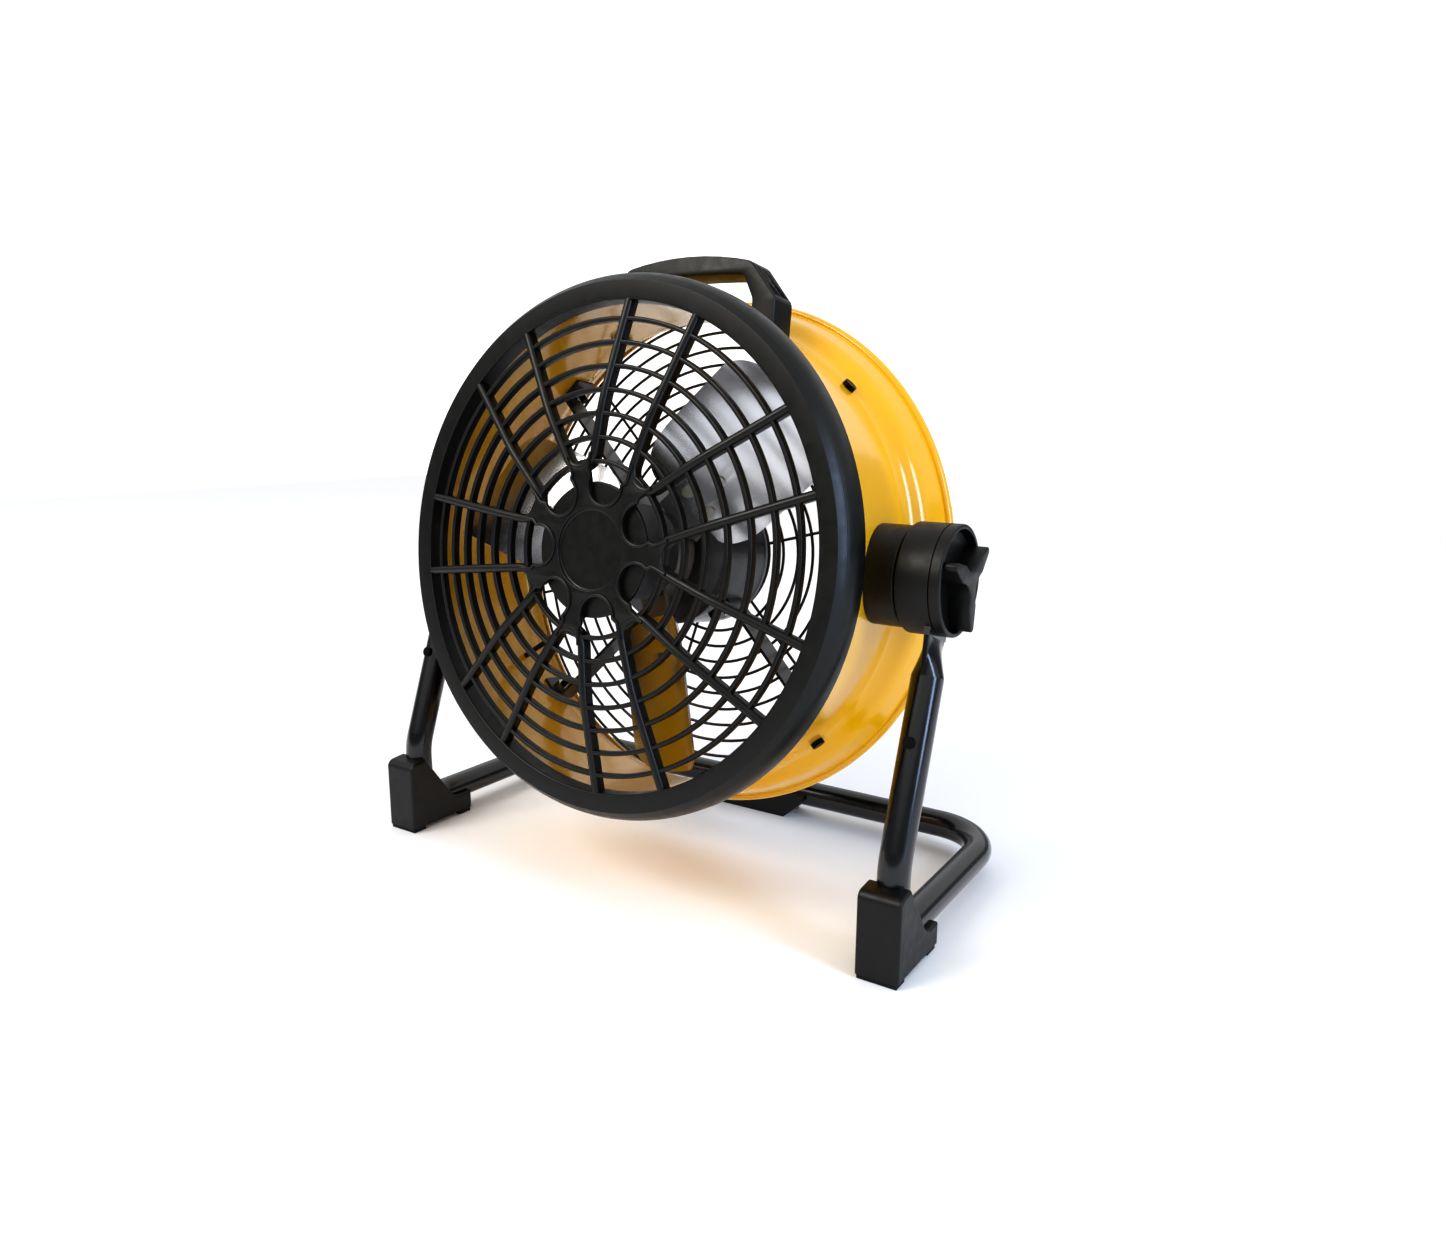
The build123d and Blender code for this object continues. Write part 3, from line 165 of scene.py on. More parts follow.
def turned(section, steps=192):
    """A ring turned about the z axis from a closed section of (radius, height) points."""
    count = len(section)
    around = [(cos(2 * pi * i / steps), sin(2 * pi * i / steps)) for i in range(steps)]
    points = [(p.x * x, p.x * y, p.y) for x, y in around for p in section]
    faces = []
    for i in range(steps):
        here, there = i * count, (i + 1) % steps * count
        for k in range(count):
            nxt = (k + 1) % count
            faces.append((here + k, there + k, there + nxt, here + nxt))
    return points, faces


def swept(path, section):
    """A bar along a path of (x, y, top) points; its section is (across, below the top) points."""
    points, faces, count = [], [], len(section)
    for i, (x, y, top) in enumerate(path):
        before, after = path[max(i - 1, 0)], path[min(i + 1, len(path) - 1)]
        along = Vector((after[0] - before[0], after[1] - before[1])).normalized()
        for across, below in section:
            points.append((x - along.y * across, y + along.x * across, top - below))
    for i in range(len(path) - 1):
        for k in range(count):
            a, b = i * count + k, i * count + (k + 1) % count
            faces.append((a, a + count, b + count, b))
    faces.append(tuple(range(count)))
    faces.append(tuple(reversed(range(len(points) - count, len(points)))))
    return points, faces


# ------------------------------------------------------------------ finishes


def linear(code):
    """Linear colour from an sRGB hex code."""
    parts = [int(code[i : i + 2], 16) / 255 for i in (1, 3, 5)]
    return (*[c / 12.92 if c <= 0.04045 else ((c + 0.055) / 1.055) ** 2.4 for c in parts], 1)


def add(tree, kind, settings=None, **sockets):
    """Adds a node with its settings, and gives its sockets values or links. i0 is the first socket."""
    made = tree.nodes.new("ShaderNode" + kind)
    for name, value in (settings or {}).items():
        setattr(made, name, value)
    for name, value in sockets.items():
        numbered = name[0] == "i" and name[1:].isdigit()
        socket = made.inputs[int(name[1:]) if numbered else name.replace("_", " ")]
        if isinstance(value, bpy.types.NodeSocket):
            tree.links.new(value, socket)
        else:
            socket.default_value = value
    return made


def blank(name):
    """A new material whose nodes are cleared but for the object's own coordinates in metres."""
    material = bpy.data.materials.new(name)
    material.use_nodes = True
    tree = material.node_tree
    tree.nodes.clear()
    place = add(tree, "TexCoord").outputs["Object"]
    return material, tree, place


def close(tree, shader):
    add(tree, "OutputMaterial", Surface=shader.outputs[0])


def between(tree, factor, low, high):
    """A value that runs from low to high as the factor runs from 0.3 to 0.7."""
    spread = add(tree, "MapRange", Value=factor, From_Min=0.3, From_Max=0.7, To_Min=low, To_Max=high)
    return spread.outputs[0]


def tinted(tree, factor, dark, light):
    """A colour between two hex codes."""
    mix = add(tree, "Mix", {"data_type": "RGBA"}, i0=factor, i6=linear(dark), i7=linear(light))
    return mix.outputs[2]


def gloss_enamel(name, dark, light, rough, peel):
    """Stoved gloss enamel on steel, sprayed: deep and even, with a faint orange peel."""
    material, tree, place = blank(name)
    drift = add(tree, "TexNoise", Vector=place, Scale=9.0, Detail=2.0).outputs["Fac"]
    # Orange peel is about 2 mm from crest to crest.
    ripple = add(tree, "TexNoise", Vector=place, Scale=480.0, Detail=1.0).outputs["Fac"]
    haze = add(tree, "TexNoise", Vector=place, Scale=60.0, Detail=5.0).outputs["Fac"]
    bump = add(tree, "Bump", Strength=peel, Distance=0.0002, Height=ripple)
    shader = add(
        tree,
        "BsdfPrincipled",
        Base_Color=tinted(tree, drift, dark, light),
        Roughness=between(tree, haze, rough, rough + 0.08),
        IOR=1.5,
        Normal=bump.outputs[0],
    )
    shader.inputs["Coat Weight"].default_value = 0.6
    shader.inputs["Coat Roughness"].default_value = rough * 0.6
    close(tree, shader)
    return material


def moulded_plastic(name, dark, light, rough, grain_mm, depth):
    """Polypropylene moulded in a spark-eroded tool: a fine, even grain with a satin sheen."""
    material, tree, place = blank(name)
    pits = 1 / (grain_mm * MM)
    grain = add(tree, "TexNoise", Vector=place, Scale=pits, Detail=3.0, Roughness=0.6).outputs["Fac"]
    flow = add(tree, "TexNoise", Vector=place, Scale=22.0, Detail=4.0, Distortion=0.8).outputs["Fac"]
    rubbed = add(tree, "TexNoise", Vector=place, Scale=120.0, Detail=6.0).outputs["Fac"]
    bump = add(tree, "Bump", Strength=depth, Distance=0.0002, Height=grain)
    shader = add(
        tree,
        "BsdfPrincipled",
        Base_Color=tinted(tree, flow, dark, light),
        Roughness=between(tree, rubbed, rough - 0.05, rough + 0.06),
        IOR=1.49,
        Normal=bump.outputs[0],
    )
    close(tree, shader)
    return material


def polished_aluminium(name, dark, light, rough):
    """Rolled aluminium sheet, pressed and polished: near-mirror bands that wander a little."""
    material, tree, place = blank(name)
    cloud = add(tree, "TexNoise", Vector=place, Scale=26.0, Detail=4.0).outputs["Fac"]
    bump = add(tree, "Bump", Strength=0.05, Distance=0.0005, Height=cloud)
    shader = add(
        tree,
        "BsdfPrincipled",
        Base_Color=tinted(tree, cloud, dark, light),
        Roughness=between(tree, cloud, rough + 0.04, rough + 0.1),
        Metallic=1.0,
        Normal=bump.outputs[0],
    )
    close(tree, shader)
    return material


def cast_metal(name, dark, light, rough, grain_mm, depth):
    """Metal with a cast, plated or oxidised skin: a pebbled surface, matt in its hollows."""
    material, tree, place = blank(name)
    pebble = add(tree, "TexVoronoi", Vector=place, Scale=1 / (grain_mm * MM)).outputs["Distance"]
    stain = add(tree, "TexNoise", Vector=place, Scale=70.0, Detail=6.0, Roughness=0.65).outputs["Fac"]
    bump = add(tree, "Bump", Strength=depth, Distance=0.0002, Height=pebble)
    shader = add(
        tree,
        "BsdfPrincipled",
        Base_Color=tinted(tree, stain, dark, light),
        Roughness=between(tree, stain, rough, rough + 0.15),
        Metallic=1.0,
        Normal=bump.outputs[0],
    )
    close(tree, shader)
    return material


def stacked_steel(name, dark, light, pitch_mm):
    """Laminations of electrical steel, punched and stacked along the drum's axis: fine parallel edges."""
    material, tree, place = blank(name)
    along = OUTLET / (pitch_mm * MM)
    dot = add(tree, "VectorMath", {"operation": "DOT_PRODUCT"}, i0=place, i1=tuple(along))
    saw = add(tree, "Math", {"operation": "FRACT"}, i0=dot.outputs["Value"]).outputs[0]
    bump = add(tree, "Bump", Strength=0.6, Distance=0.0002, Height=saw)
    shader = add(
        tree,
        "BsdfPrincipled",
        Base_Color=tinted(tree, saw, dark, light),
        Roughness=between(tree, saw, 0.4, 0.55),
        Metallic=1.0,
        Normal=bump.outputs[0],
    )
    close(tree, shader)
    return material


def wound_copper(name, dark, light, wire_mm):
    """Enamelled copper wire, wound and varnished: glossy strands side by side."""
    material, tree, place = blank(name)
    # A wave texture has about three bands in one unit at scale 1.
    strands = 0.31 / (wire_mm * MM)
    slanted = {"bands_direction": "DIAGONAL"}
    bands = add(tree, "TexWave", slanted, Vector=place, Scale=strands, Distortion=1.5).outputs["Fac"]
    bump = add(tree, "Bump", Strength=0.7, Distance=0.0003, Height=bands)
    shader = add(
        tree,
        "BsdfPrincipled",
        Base_Color=tinted(tree, bands, dark, light),
        Roughness=between(tree, bands, 0.25, 0.4),
        Metallic=1.0,
        Normal=bump.outputs[0],
    )
    close(tree, shader)
    return material


FINISHES = {}


def finish(name):
    """The material of that name, made once from the colours in the sidebar."""
    if name in FINISHES:
        return FINISHES[name]
    tint = bpy.context.scene.mover_colours
    grille, black = (tint.grille_dark, tint.grille_light), (tint.black_dark, tint.black_light)
    makers = {
        "drum_enamel": lambda: gloss_enamel(name, tint.yellow_dark, tint.yellow_light, 0.16, 0.05),
        "tube_enamel": lambda: gloss_enamel(name, "#08090A", "#0C0D0F", 0.2, 0.04),
        "motor_enamel": lambda: gloss_enamel(name, "#0B0B0C", "#121213", 0.3, 0.12),
        "wire_coating": lambda: gloss_enamel(name, "#0C0C0B", "#141412", 0.3, 0.1),
        "grille_moulding": lambda: moulded_plastic(name, *grille, 0.36, 0.5, 0.12),
        "black_moulding": lambda: moulded_plastic(name, *black, 0.42, 0.45, 0.22),
        "foot_rubber": lambda: moulded_plastic(name, "#101010", "#191817", 0.75, 0.8, 0.3),
        "lead_sleeve": lambda: moulded_plastic(name, "#0F0F10", "#181818", 0.5, 0.6, 0.15),
        "nylon_moulding": lambda: moulded_plastic(name, "#D9D5C8", "#E6E3D8", 0.4, 0.5, 0.1),
        "blade_sheet": lambda: polished_aluminium(name, "#C9CACE", "#E4E4E6", 0.12),
        "cast_aluminium": lambda: cast_metal(name, "#7F8084", "#9A9B9F", 0.45, 1.6, 0.05),
        "zinc_plate": lambda: cast_metal(name, "#B5B3A8", "#CFCDC4", 0.25, 0.6, 0.1),
        "black_oxide": lambda: cast_metal(name, "#1B1B1C", "#29292A", 0.38, 0.6, 0.15),
        "ground_steel": lambda: cast_metal(name, "#A6A7A9", "#BDBEBF", 0.2, 0.4, 0.06),
        "lamination_steel": lambda: stacked_steel(name, "#4C4E52", "#6E7074", 0.5),
        "winding_copper": lambda: wound_copper(name, "#7A2F16", "#B4592F", 0.8),
    }
    FINISHES[name] = makers[name]()
    return FINISHES[name]


def dress(name, *nodes):
    """Gives CAD pieces a finish."""
    for node in nodes:
        slots = frame["nodes"][node].material_slots
        for index in range(len(slots)):
            slots[index].material = finish(name)


# ------------------------------------------------------------------ sizes and colours


def length(name, description, value):
    return FloatProperty(name=name, description=description, default=value, unit="LENGTH", precision=4)


def turn(name, description, degrees):
    return FloatProperty(name=name, description=description, default=radians(degrees), unit="ROTATION")


def colour(name, description, code):
    return StringProperty(name=name, description=description, default=code)


class MoverGrilleSizes(PropertyGroup):
    """Sizes of the front grille."""

    rim_radius: length("Rim radius", "Outside of the skirt", 0.1975)
    rim_inner_radius: length("Opening radius", "Inside of the rim", 0.176)
    face_station: length("Face", "Front of the rim, ahead of the pivot", 0.085)
    skirt_station: length("Skirt edge", "Rear edge of the skirt, ahead of the pivot", 0.061)
    rim_round: length("Rim rounding", "Radius of the rim's front edge", 0.008)
    wall: length("Wall", "Thickness of the skirt and of the rim", 0.003)
    dome: length("Dome", "How far the hub stands ahead of the rim", 0.012)
    flat_radius: length("Flat radius", "The grille is flat inside this", 0.106)
    rib_width: length("Rib width", "Across a rib", 0.0066)
    rib_depth: length("Rib depth", "Front to back", 0.0095)
    ring_width: length("Ring width", "Across a ring", 0.0034)
    ring_depth: length("Ring depth", "Front to back", 0.0062)
    ring_start: length("First ring", "Radius of the innermost ring", 0.0628)
    ring_pitch: length("Ring pitch", "From ring to ring", 0.0167)
    rings: IntProperty(name="Rings", description="Number of rings", default=7, min=1)
    pairs: IntProperty(name="Rib pairs", description="Number of pairs of ribs", default=7, min=3)
    pocket_radius: length("Pocket radius", "Round pocket at the root of a pair", 0.0138)
    pocket_place: length("Pocket place", "Middle of a pocket, from the axis", 0.0475)
    dish_radius: length("Dish radius", "Round dish in the hub", 0.029)
    rib_root: length("Rib root", "Radius where the ribs of a pair meet the hub", 0.052)
    root_side: length("Rib root side", "Rib's middle line from the pair's, at its root", 0.0166)
    tip_side: length("Rib tip side", "Rib's middle line from the pair's, at the rim", 0.030)
    bend_place: length("Bend place", "Middle of the bend between two pairs, from the axis", 0.073)
    ring_set_back: length("Ring set-back", "From the ribs' tops to the rings'", 0.0016)
    hub_plate: length("Hub plate", "Thickness of the hub plate", 0.004)
    dish_depth: length("Dish depth", "Depth of the dish", 0.0022)
    floor_radius: length("Floor radius", "Disc that closes the pockets from behind", 0.0485)
    lip: length("Lip", "Half the width of the lip around a pocket", 0.0012)
    rim_lip: length("Rim lip", "How far the opening's wall reaches behind the face", 0.015)


class MoverDrumSizes(PropertyGroup):
    """Sizes of the drum."""

    radius: length("Radius", "Outside of the front cylinder", 0.1845)
    sheet: length("Sheet", "Thickness of the steel", 0.0015)
    front: length("Front flange", "Ahead of the pivot", 0.070)
    flange_radius: length("Flange radius", "Outside of the front flange", 0.193)
    shoulder: length("Shoulder", "Where the drum starts to widen, ahead of the pivot", -0.036)
    shoulder_round: length("Shoulder rounding", "Radius of the pressed shoulder", 0.020)
    band_radius: length("Band radius", "Outside of the rear band where it starts", 0.197)
    band_rear_radius: length("Band rear radius", "Outside of the rear band at its end", 0.203)
    lip_radius: length("Lip radius", "Outside of the rolled lip", 0.2075)
    bead: length("Bead", "Radius of the rolled lip's bead", 0.0034)
    rear: length("Rear", "Rear edge, ahead of the pivot", -0.074)


class MoverHandleSizes(PropertyGroup):
    """Sizes of the carry handle."""

    front: length("Front", "Front of the handle, ahead of the pivot", 0.003)
    depth: length("Depth", "Front to back", 0.027)
    edge: length("Edge", "Radius along the edges", 0.0018)
    recess: length("Recess", "Depth of the channels in the shoulders", 0.006)
    crown: length("Crown", "Top of the grip, above the drum's axis", 0.226)
    shoulder_side: length("Shoulder side", "Upper end of the shoulder, from the middle", 0.057)
    shoulder: length("Shoulder", "Upper end of the shoulder, above the drum's axis", 0.2195)
    knee: length("Knee", "Lower end of the shoulder, above the drum's axis", 0.192)
    under: length("Underside", "Underside of the grip, above the drum's axis", 0.211)
    opening: length("Opening", "Half the opening at its foot", 0.060)
    opening_top: length("Opening top", "Half the opening at its top", 0.051)


class MoverKnobSizes(PropertyGroup):
    """Sizes of the clamping knobs."""

    rim: length("Rim", "Width of the raised rim", 0.0032)
    dish: length("Dish", "Depth of the dish inside the rim", 0.0062)
    wing: length("Wing", "Width of a wing at its tip", 0.0062)
    edge: length("Edge", "Radius along the edges", 0.0009)


class MoverColours(PropertyGroup):
    """Colours of the finishes, as sRGB hex codes."""

    yellow_dark: colour("Yellow, dark", "Drum enamel where it is thin", "#E9AB0A")
    yellow_light: colour("Yellow, light", "Drum enamel where it is full", "#F2B90F")
    grille_dark: colour("Grille, dark", "Grille moulding", "#0C0C0A")
    grille_light: colour("Grille, light", "Grille moulding, along its flow lines", "#13130F")
    black_dark: colour("Black, dark", "Other black mouldings", "#0B0B0A")
    black_light: colour("Black, light", "Other black mouldings, along their flow lines", "#12120F")
    floor: colour("Floor", "Studio floor", "#FBFBFA")


class MoverStageSizes(PropertyGroup):
    """Camera and light."""

    eye: FloatVectorProperty(
        name="Camera", description="Place of the camera", default=(0.4777, -0.6829, 0.3678), unit="LENGTH"
    )
    azimuth: turn("Azimuth", "Turn about the vertical", 32.88)
    elevation: turn("Elevation", "Height of view", 12.08)
    roll: turn("Roll", "Turn about the line of sight", 0.38)
    lens: FloatProperty(name="Lens", description="Focal length in millimetres", default=25.93)
    ceiling: FloatProperty(name="Ceiling light", description="Light from above", default=1.55)
    soft_light: FloatProperty(name="Soft light", description="Strength of the room light", default=0.2)


# ------------------------------------------------------------------ pieces


def crest(sizes, radius):
    """Height of the ribs' tops at a radius, with the bend of the dome eased."""
    run = sizes.rim_inner_radius - sizes.flat_radius
    ease = 0.012
    past = radius - sizes.flat_radius
    if past <= -ease:
        drop = 0
    elif past < ease:
        drop = (past + ease) ** 2 / (4 * ease)
    else:
        drop = past
    return sizes.face_station + sizes.dome * (1 - drop / run)


class MOVER_OT_front_grille(Operator):
    """Mould the front grille: rim, paired ribs joined by bends at the hub, rings, pockets and dish"""

    bl_idname = "mover.front_grille"
    bl_label = "Front grille"

    def execute(self, context):
        s = context.scene.mover_grille
        shell = Shell()
        face, skirt, outer, inner = s.face_station, s.skirt_station, s.rim_radius, s.rim_inner_radius
        # The skirt bulges forward to a crisp edge around the flat face.
        edge = outer - s.rim_round
        rise, swell = face - skirt - 0.0064, 0.022
        bulge = []
        for t in [i / 8 for i in range(1, 8)]:
            bulge.append((outer - s.rim_round * t * t, skirt + 0.006 + swell * t * (1 - t) + rise * t * t))
        rim = [
            (outer, skirt, 0.0006),
            (outer, skirt + 0.006, 0),
            *[(x, y, 0) for x, y in bulge],
            (edge, face, 0.0005),
            (inner, face, 0.0016),
            (inner, face - s.rim_lip, 0.0006),
            (inner + s.wall, face - s.rim_lip, 0.0006),
            (inner + s.wall, face - s.wall, 0.001),
            (outer - s.wall, face - s.wall, 0.005),
            (outer - s.wall, skirt, 0.0006),
        ]
        shell.add(*turned(rounded(rim)))
        for ring in range(s.rings):
            radius = s.ring_start + ring * s.ring_pitch
            top, half = crest(s, radius) - s.ring_set_back, s.ring_width / 2
            corners = [
                (radius - half, top - s.ring_depth, 0.0006),
                (radius + half, top - s.ring_depth, 0.0006),
                (radius + half * 0.95, top, 0.0014),
                (radius - half * 0.95, top, 0.0014),
            ]
            shell.add(*turned(rounded(corners)))
        # Two ribs of neighbouring pairs are one bar that turns back on itself at the hub.
        root, root_x = s.rib_root, s.root_side
        slope = (s.tip_side - root_x) / (inner - root)
        lean = atan(slope)
        step = 2 * pi / s.pairs
        bend_x, bend_y = s.bend_place * cos(step / 2), s.bend_place * sin(step / 2)
        bend_r = (bend_y - root_x - (bend_x - root) * slope) * cos(lean)
        touch = Vector((bend_x + bend_r * sin(lean), bend_y - bend_r * cos(lean)))
        half = s.rib_width / 2
        arch = [(half * cos(pi * i / 12), half * (1 - sin(pi * i / 12))) for i in range(13)]
        section = [(-half * 0.86, s.rib_depth), (half * 0.86, s.rib_depth), *arch]
        hub = []
        for pair in range(s.pairs):
            turn = pi + pair * step
            leg = [
                Vector((x, root_x + (x - root) * slope))
                for x in [inner * 0.9995 - i * (inner - touch.x) / 20 for i in range(20)]
            ]
            half_turn = pi / 2 + lean - step / 2
            bend = [
                Vector((bend_x, bend_y))
                + bend_r * Vector((cos(lean - pi / 2 - a), sin(lean - pi / 2 - a)))
                for a in [half_turn * i / 9 for i in range(10)]
            ]
            first = leg + bend
            mirror = Matrix(((cos(step), sin(step)), (sin(step), -cos(step))))
            bar = first + [mirror @ p for p in reversed(first[:-1])]
            spin = Matrix(((cos(turn), -sin(turn)), (sin(turn), cos(turn))))
            bar = [spin @ p for p in bar]
            shell.add(*swept([(p.x, p.y, crest(s, p.length)) for p in bar], section))
            # The hub's edge: the pocket of this pair, then the bend to the next.
            pocket = arc((s.pocket_place, 0), s.pocket_radius, -90, -270, 20)
            edge = [Vector((root, -root_x)), *pocket, Vector((root, root_x)), *bend]
            edge += [mirror @ p for p in reversed(bend[:-1])]
            hub += [spin @ p for p in edge]
            beside = root_x + s.lip
            shoulder = [Vector((x, beside + (x - root) * slope)) for x in (0.066, 0.062, 0.058, 0.054)]
            curl = arc((s.pocket_place, 0), s.pocket_radius + s.lip, 78, 282, 28)
            bead = shoulder + curl + [Vector((p.x, -p.y)) for p in reversed(shoulder)]
            bead = [spin @ p for p in reversed(bead)]
            crown = [(s.lip * cos(pi * i / 6), 0.0003 - 0.0009 * sin(pi * i / 6)) for i in range(7)]
            lip = [(-s.lip, 0.002), (s.lip, 0.002), *crown]
            shell.add(*swept([(p.x, p.y, crest(s, 0) + 0.0006) for p in bead], lip))
        top = crest(s, 0)
        dish = arc((0, 0), s.dish_radius, 0, 360, 96)[:-1]
        shell.add(*slab(hub, top - s.hub_plate, top, 0.0007, holes=[dish]))
        bowl = [
            (NAVEL, top - s.hub_plate - 0.0005, 0),
            (s.dish_radius + 0.001, top - s.hub_plate - 0.0005, 0),
            (s.dish_radius + 0.001, top - 0.0012, 0),
            (s.dish_radius - 0.001, top - s.dish_depth - 0.0002, 0.001),
            (NAVEL, top - s.dish_depth, 0),
        ]
        shell.add(*turned(rounded(bowl), 96))
        floor = [
            (NAVEL, top - s.hub_plate - 0.0024, 0),
            (s.floor_radius, top - s.hub_plate - 0.0024, 0.0005),
            (s.floor_radius, top - s.hub_plate + 0.0002, 0.0012),
            (NAVEL, top - s.hub_plate + 0.0002, 0),
        ]
        shell.add(*turned(rounded(floor), 96))
        piece = shell.build("grille_moulding", HEAD, "head", finish("grille_moulding"))
        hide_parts("front_grille")
        return {"FINISHED"}


class MOVER_OT_handle(Operator):
    """Mould the carry handle, with two channels in each shoulder"""

    bl_idname = "mover.handle"
    bl_label = "Carry handle"

    def execute(self, context):
        s = context.scene.mover_handle
        half, knee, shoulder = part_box("handle")[1].x, s.knee, Vector((s.shoulder_side, s.shoulder))
        wall = context.scene.mover_drum.radius

        def on_drum(x):
            return sqrt(wall**2 - x**2)

        rise = s.crown - shoulder.y
        crown = [(shoulder.x * t, shoulder.y + rise * (1 - t * t), 0) for t in (0.75, 0.5, 0.25, 0)]
        outer = [(half, knee, 0.008), (shoulder.x, shoulder.y, 0.012), *crown]
        under = [(0.045 * t, s.under - 0.0012 * t * t, 0) for t in (0, 0.33, 0.66, 1)]
        foot = (s.opening, on_drum(s.opening), 0.001)
        inner = [*under, (s.opening_top, s.under - 0.0015, 0.005), (s.opening, knee, 0.010), foot]
        side = [(half, on_drum(half), 0.001), *outer]
        right = inner + side
        left = [(-x, y, r) for x, y, r in reversed(right)]
        corners = right + left
        corners = [c for i, c in enumerate(corners) if Vector(c[:2]) != Vector(corners[i - 1][:2])]
        shell = Shell()
        shell.add(*slab(rounded(corners, 8), s.front - s.depth, s.front, s.edge))
        piece = shell.build("handle_moulding", HEAD, "head", finish("black_moulding"), 30)
        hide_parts("handle")
        slope = Vector((half - shoulder.x, knee - shoulder.y))
        middle = Vector((half + shoulder.x, knee + shoulder.y)) / 2
        out = Vector((-slope.y, slope.x)).normalized()
        channel = (s.depth - 0.011) / 2
        for way in (-1, 1):
            for place in (-1, 1):
                cutter = Shell()
                reach, deep = slope.length * 0.40, s.recess
                bottom = [(-reach, -deep, 0.002), (reach, -deep, 0.002)]
                outline = rounded([*bottom, (reach, deep, 0), (-reach, deep, 0)])
                cutter.add(*slab(outline, -channel / 2, channel / 2, 0.0004))
                level = s.front - s.depth / 2 + place * (channel / 2 + 0.001)
                at = HEAD @ Matrix.Translation((way * middle.x, middle.y, level))
                turn = Matrix((
                    (way * slope.x / slope.length, way * out.x, 0, 0),
                    (slope.y / slope.length, out.y, 0, 0),
                    (0, 0, way * -1, 0),
                    (0, 0, 0, 1),
                ))
                place_of_cut, plastic = at @ turn, finish("black_moulding")
                carve(piece, cutter.build("channel_cutter", place_of_cut, "head", plastic))
        return {"FINISHED"}


def carve(piece, cutter):
    """Cuts one shape out of another and removes the cutter."""
    modifier = piece.modifiers.new("carve", "BOOLEAN")
    modifier.object, modifier.solver = cutter, "EXACT"
    bpy.context.view_layer.update()
    carved = bpy.data.meshes.new_from_object(piece.evaluated_get(bpy.context.evaluated_depsgraph_get()))
    piece.modifiers.clear()
    piece.data = carved
    piece.data.polygons.foreach_set("use_smooth", [True] * len(carved.polygons))
    piece.data.set_sharp_from_angle(angle=radians(30))
    bpy.data.objects.remove(cutter)


class MOVER_OT_knobs(Operator):
    """Mould the two clamping knobs: a dished cup with a three-winged grip"""

    bl_idname = "mover.knobs"
    bl_label = "Clamping knobs"

    def execute(self, context):
        s = context.scene.mover_knob
        for name, way in (("left", -1), ("right", 1)):
            low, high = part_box(f"knob_{name}")
            base, tip = (high.x, low.x) if way < 0 else (low.x, high.x)
            radius = (high.z - low.z) / 2
            rim = base + way * 0.0077
            # Knob's own frame: x to the back, y up, z out of the machine.
            place = Matrix.Translation((0, PIVOT.y, PIVOT.z)) @ Matrix(
                ((0, 0, way, 0), (1, 0, 0, 0), (0, 1, 0, 0), (0, 0, 0, 1))
            )
            start, top, crown = abs(base), abs(rim), abs(tip)
            floor = top - s.dish
            cup = [
                (0.0055, start, 0.0),
                (radius, start, 0.0008),
                (radius, top, 0.0026),
                (radius - s.rim, top, 0.001),
                (radius - s.rim - 0.0015, floor, 0.002),
                (0.0055, floor, 0),
            ]
            shell = Shell()
            shell.add(*turned(rounded(cup), 128))
            grip = []
            for wing in (35, 155, 275):
                a = radians(wing)
                out, across = Vector((cos(a), sin(a))), Vector((-sin(a), cos(a)))
                reach, half = radius - s.rim - 0.0006, s.wing / 2
                for t in [pi / 8 * (i - 4) for i in range(9)]:
                    grip.append(out * (reach - half + half * cos(t)) + across * half * sin(t))
                mid = radians(wing + 60)
                middle, beside = Vector((cos(mid), sin(mid))), Vector((-sin(mid), cos(mid)))
                for t in (-1, -0.6, -0.2, 0.2, 0.6, 1):
                    grip.append(middle * (0.0075 + 0.0065 * t * t) + beside * 0.012 * t)
            shell.add(*slab(grip, floor - 0.0005, crown, s.edge))
            plastic = finish("black_moulding")
            body = f"knob_{name}"
            piece = shell.build(f"{body}_moulding", place, body, plastic, 38)
            if way < 0:
                piece.data.flip_normals()
            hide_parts(body)
        return {"FINISHED"}


class MOVER_OT_stand(Operator):
    """Finish the stand: gloss black tubes on moulded feet with rubber pads"""

    bl_idname = "mover.stand"
    bl_label = "Stand and feet"

    def execute(self, context):
        dress("tube_enamel", "base_tube", "leg_upper_left", "leg_upper_right")
        dress("black_moulding", "foot_left", "foot_right", "rear_foot", "leg_cap_left", "leg_cap_right")
        dress("foot_rubber", "foot_pads")
        dress("nylon_moulding", "friction_washer_left", "friction_washer_right")
        return {"FINISHED"}


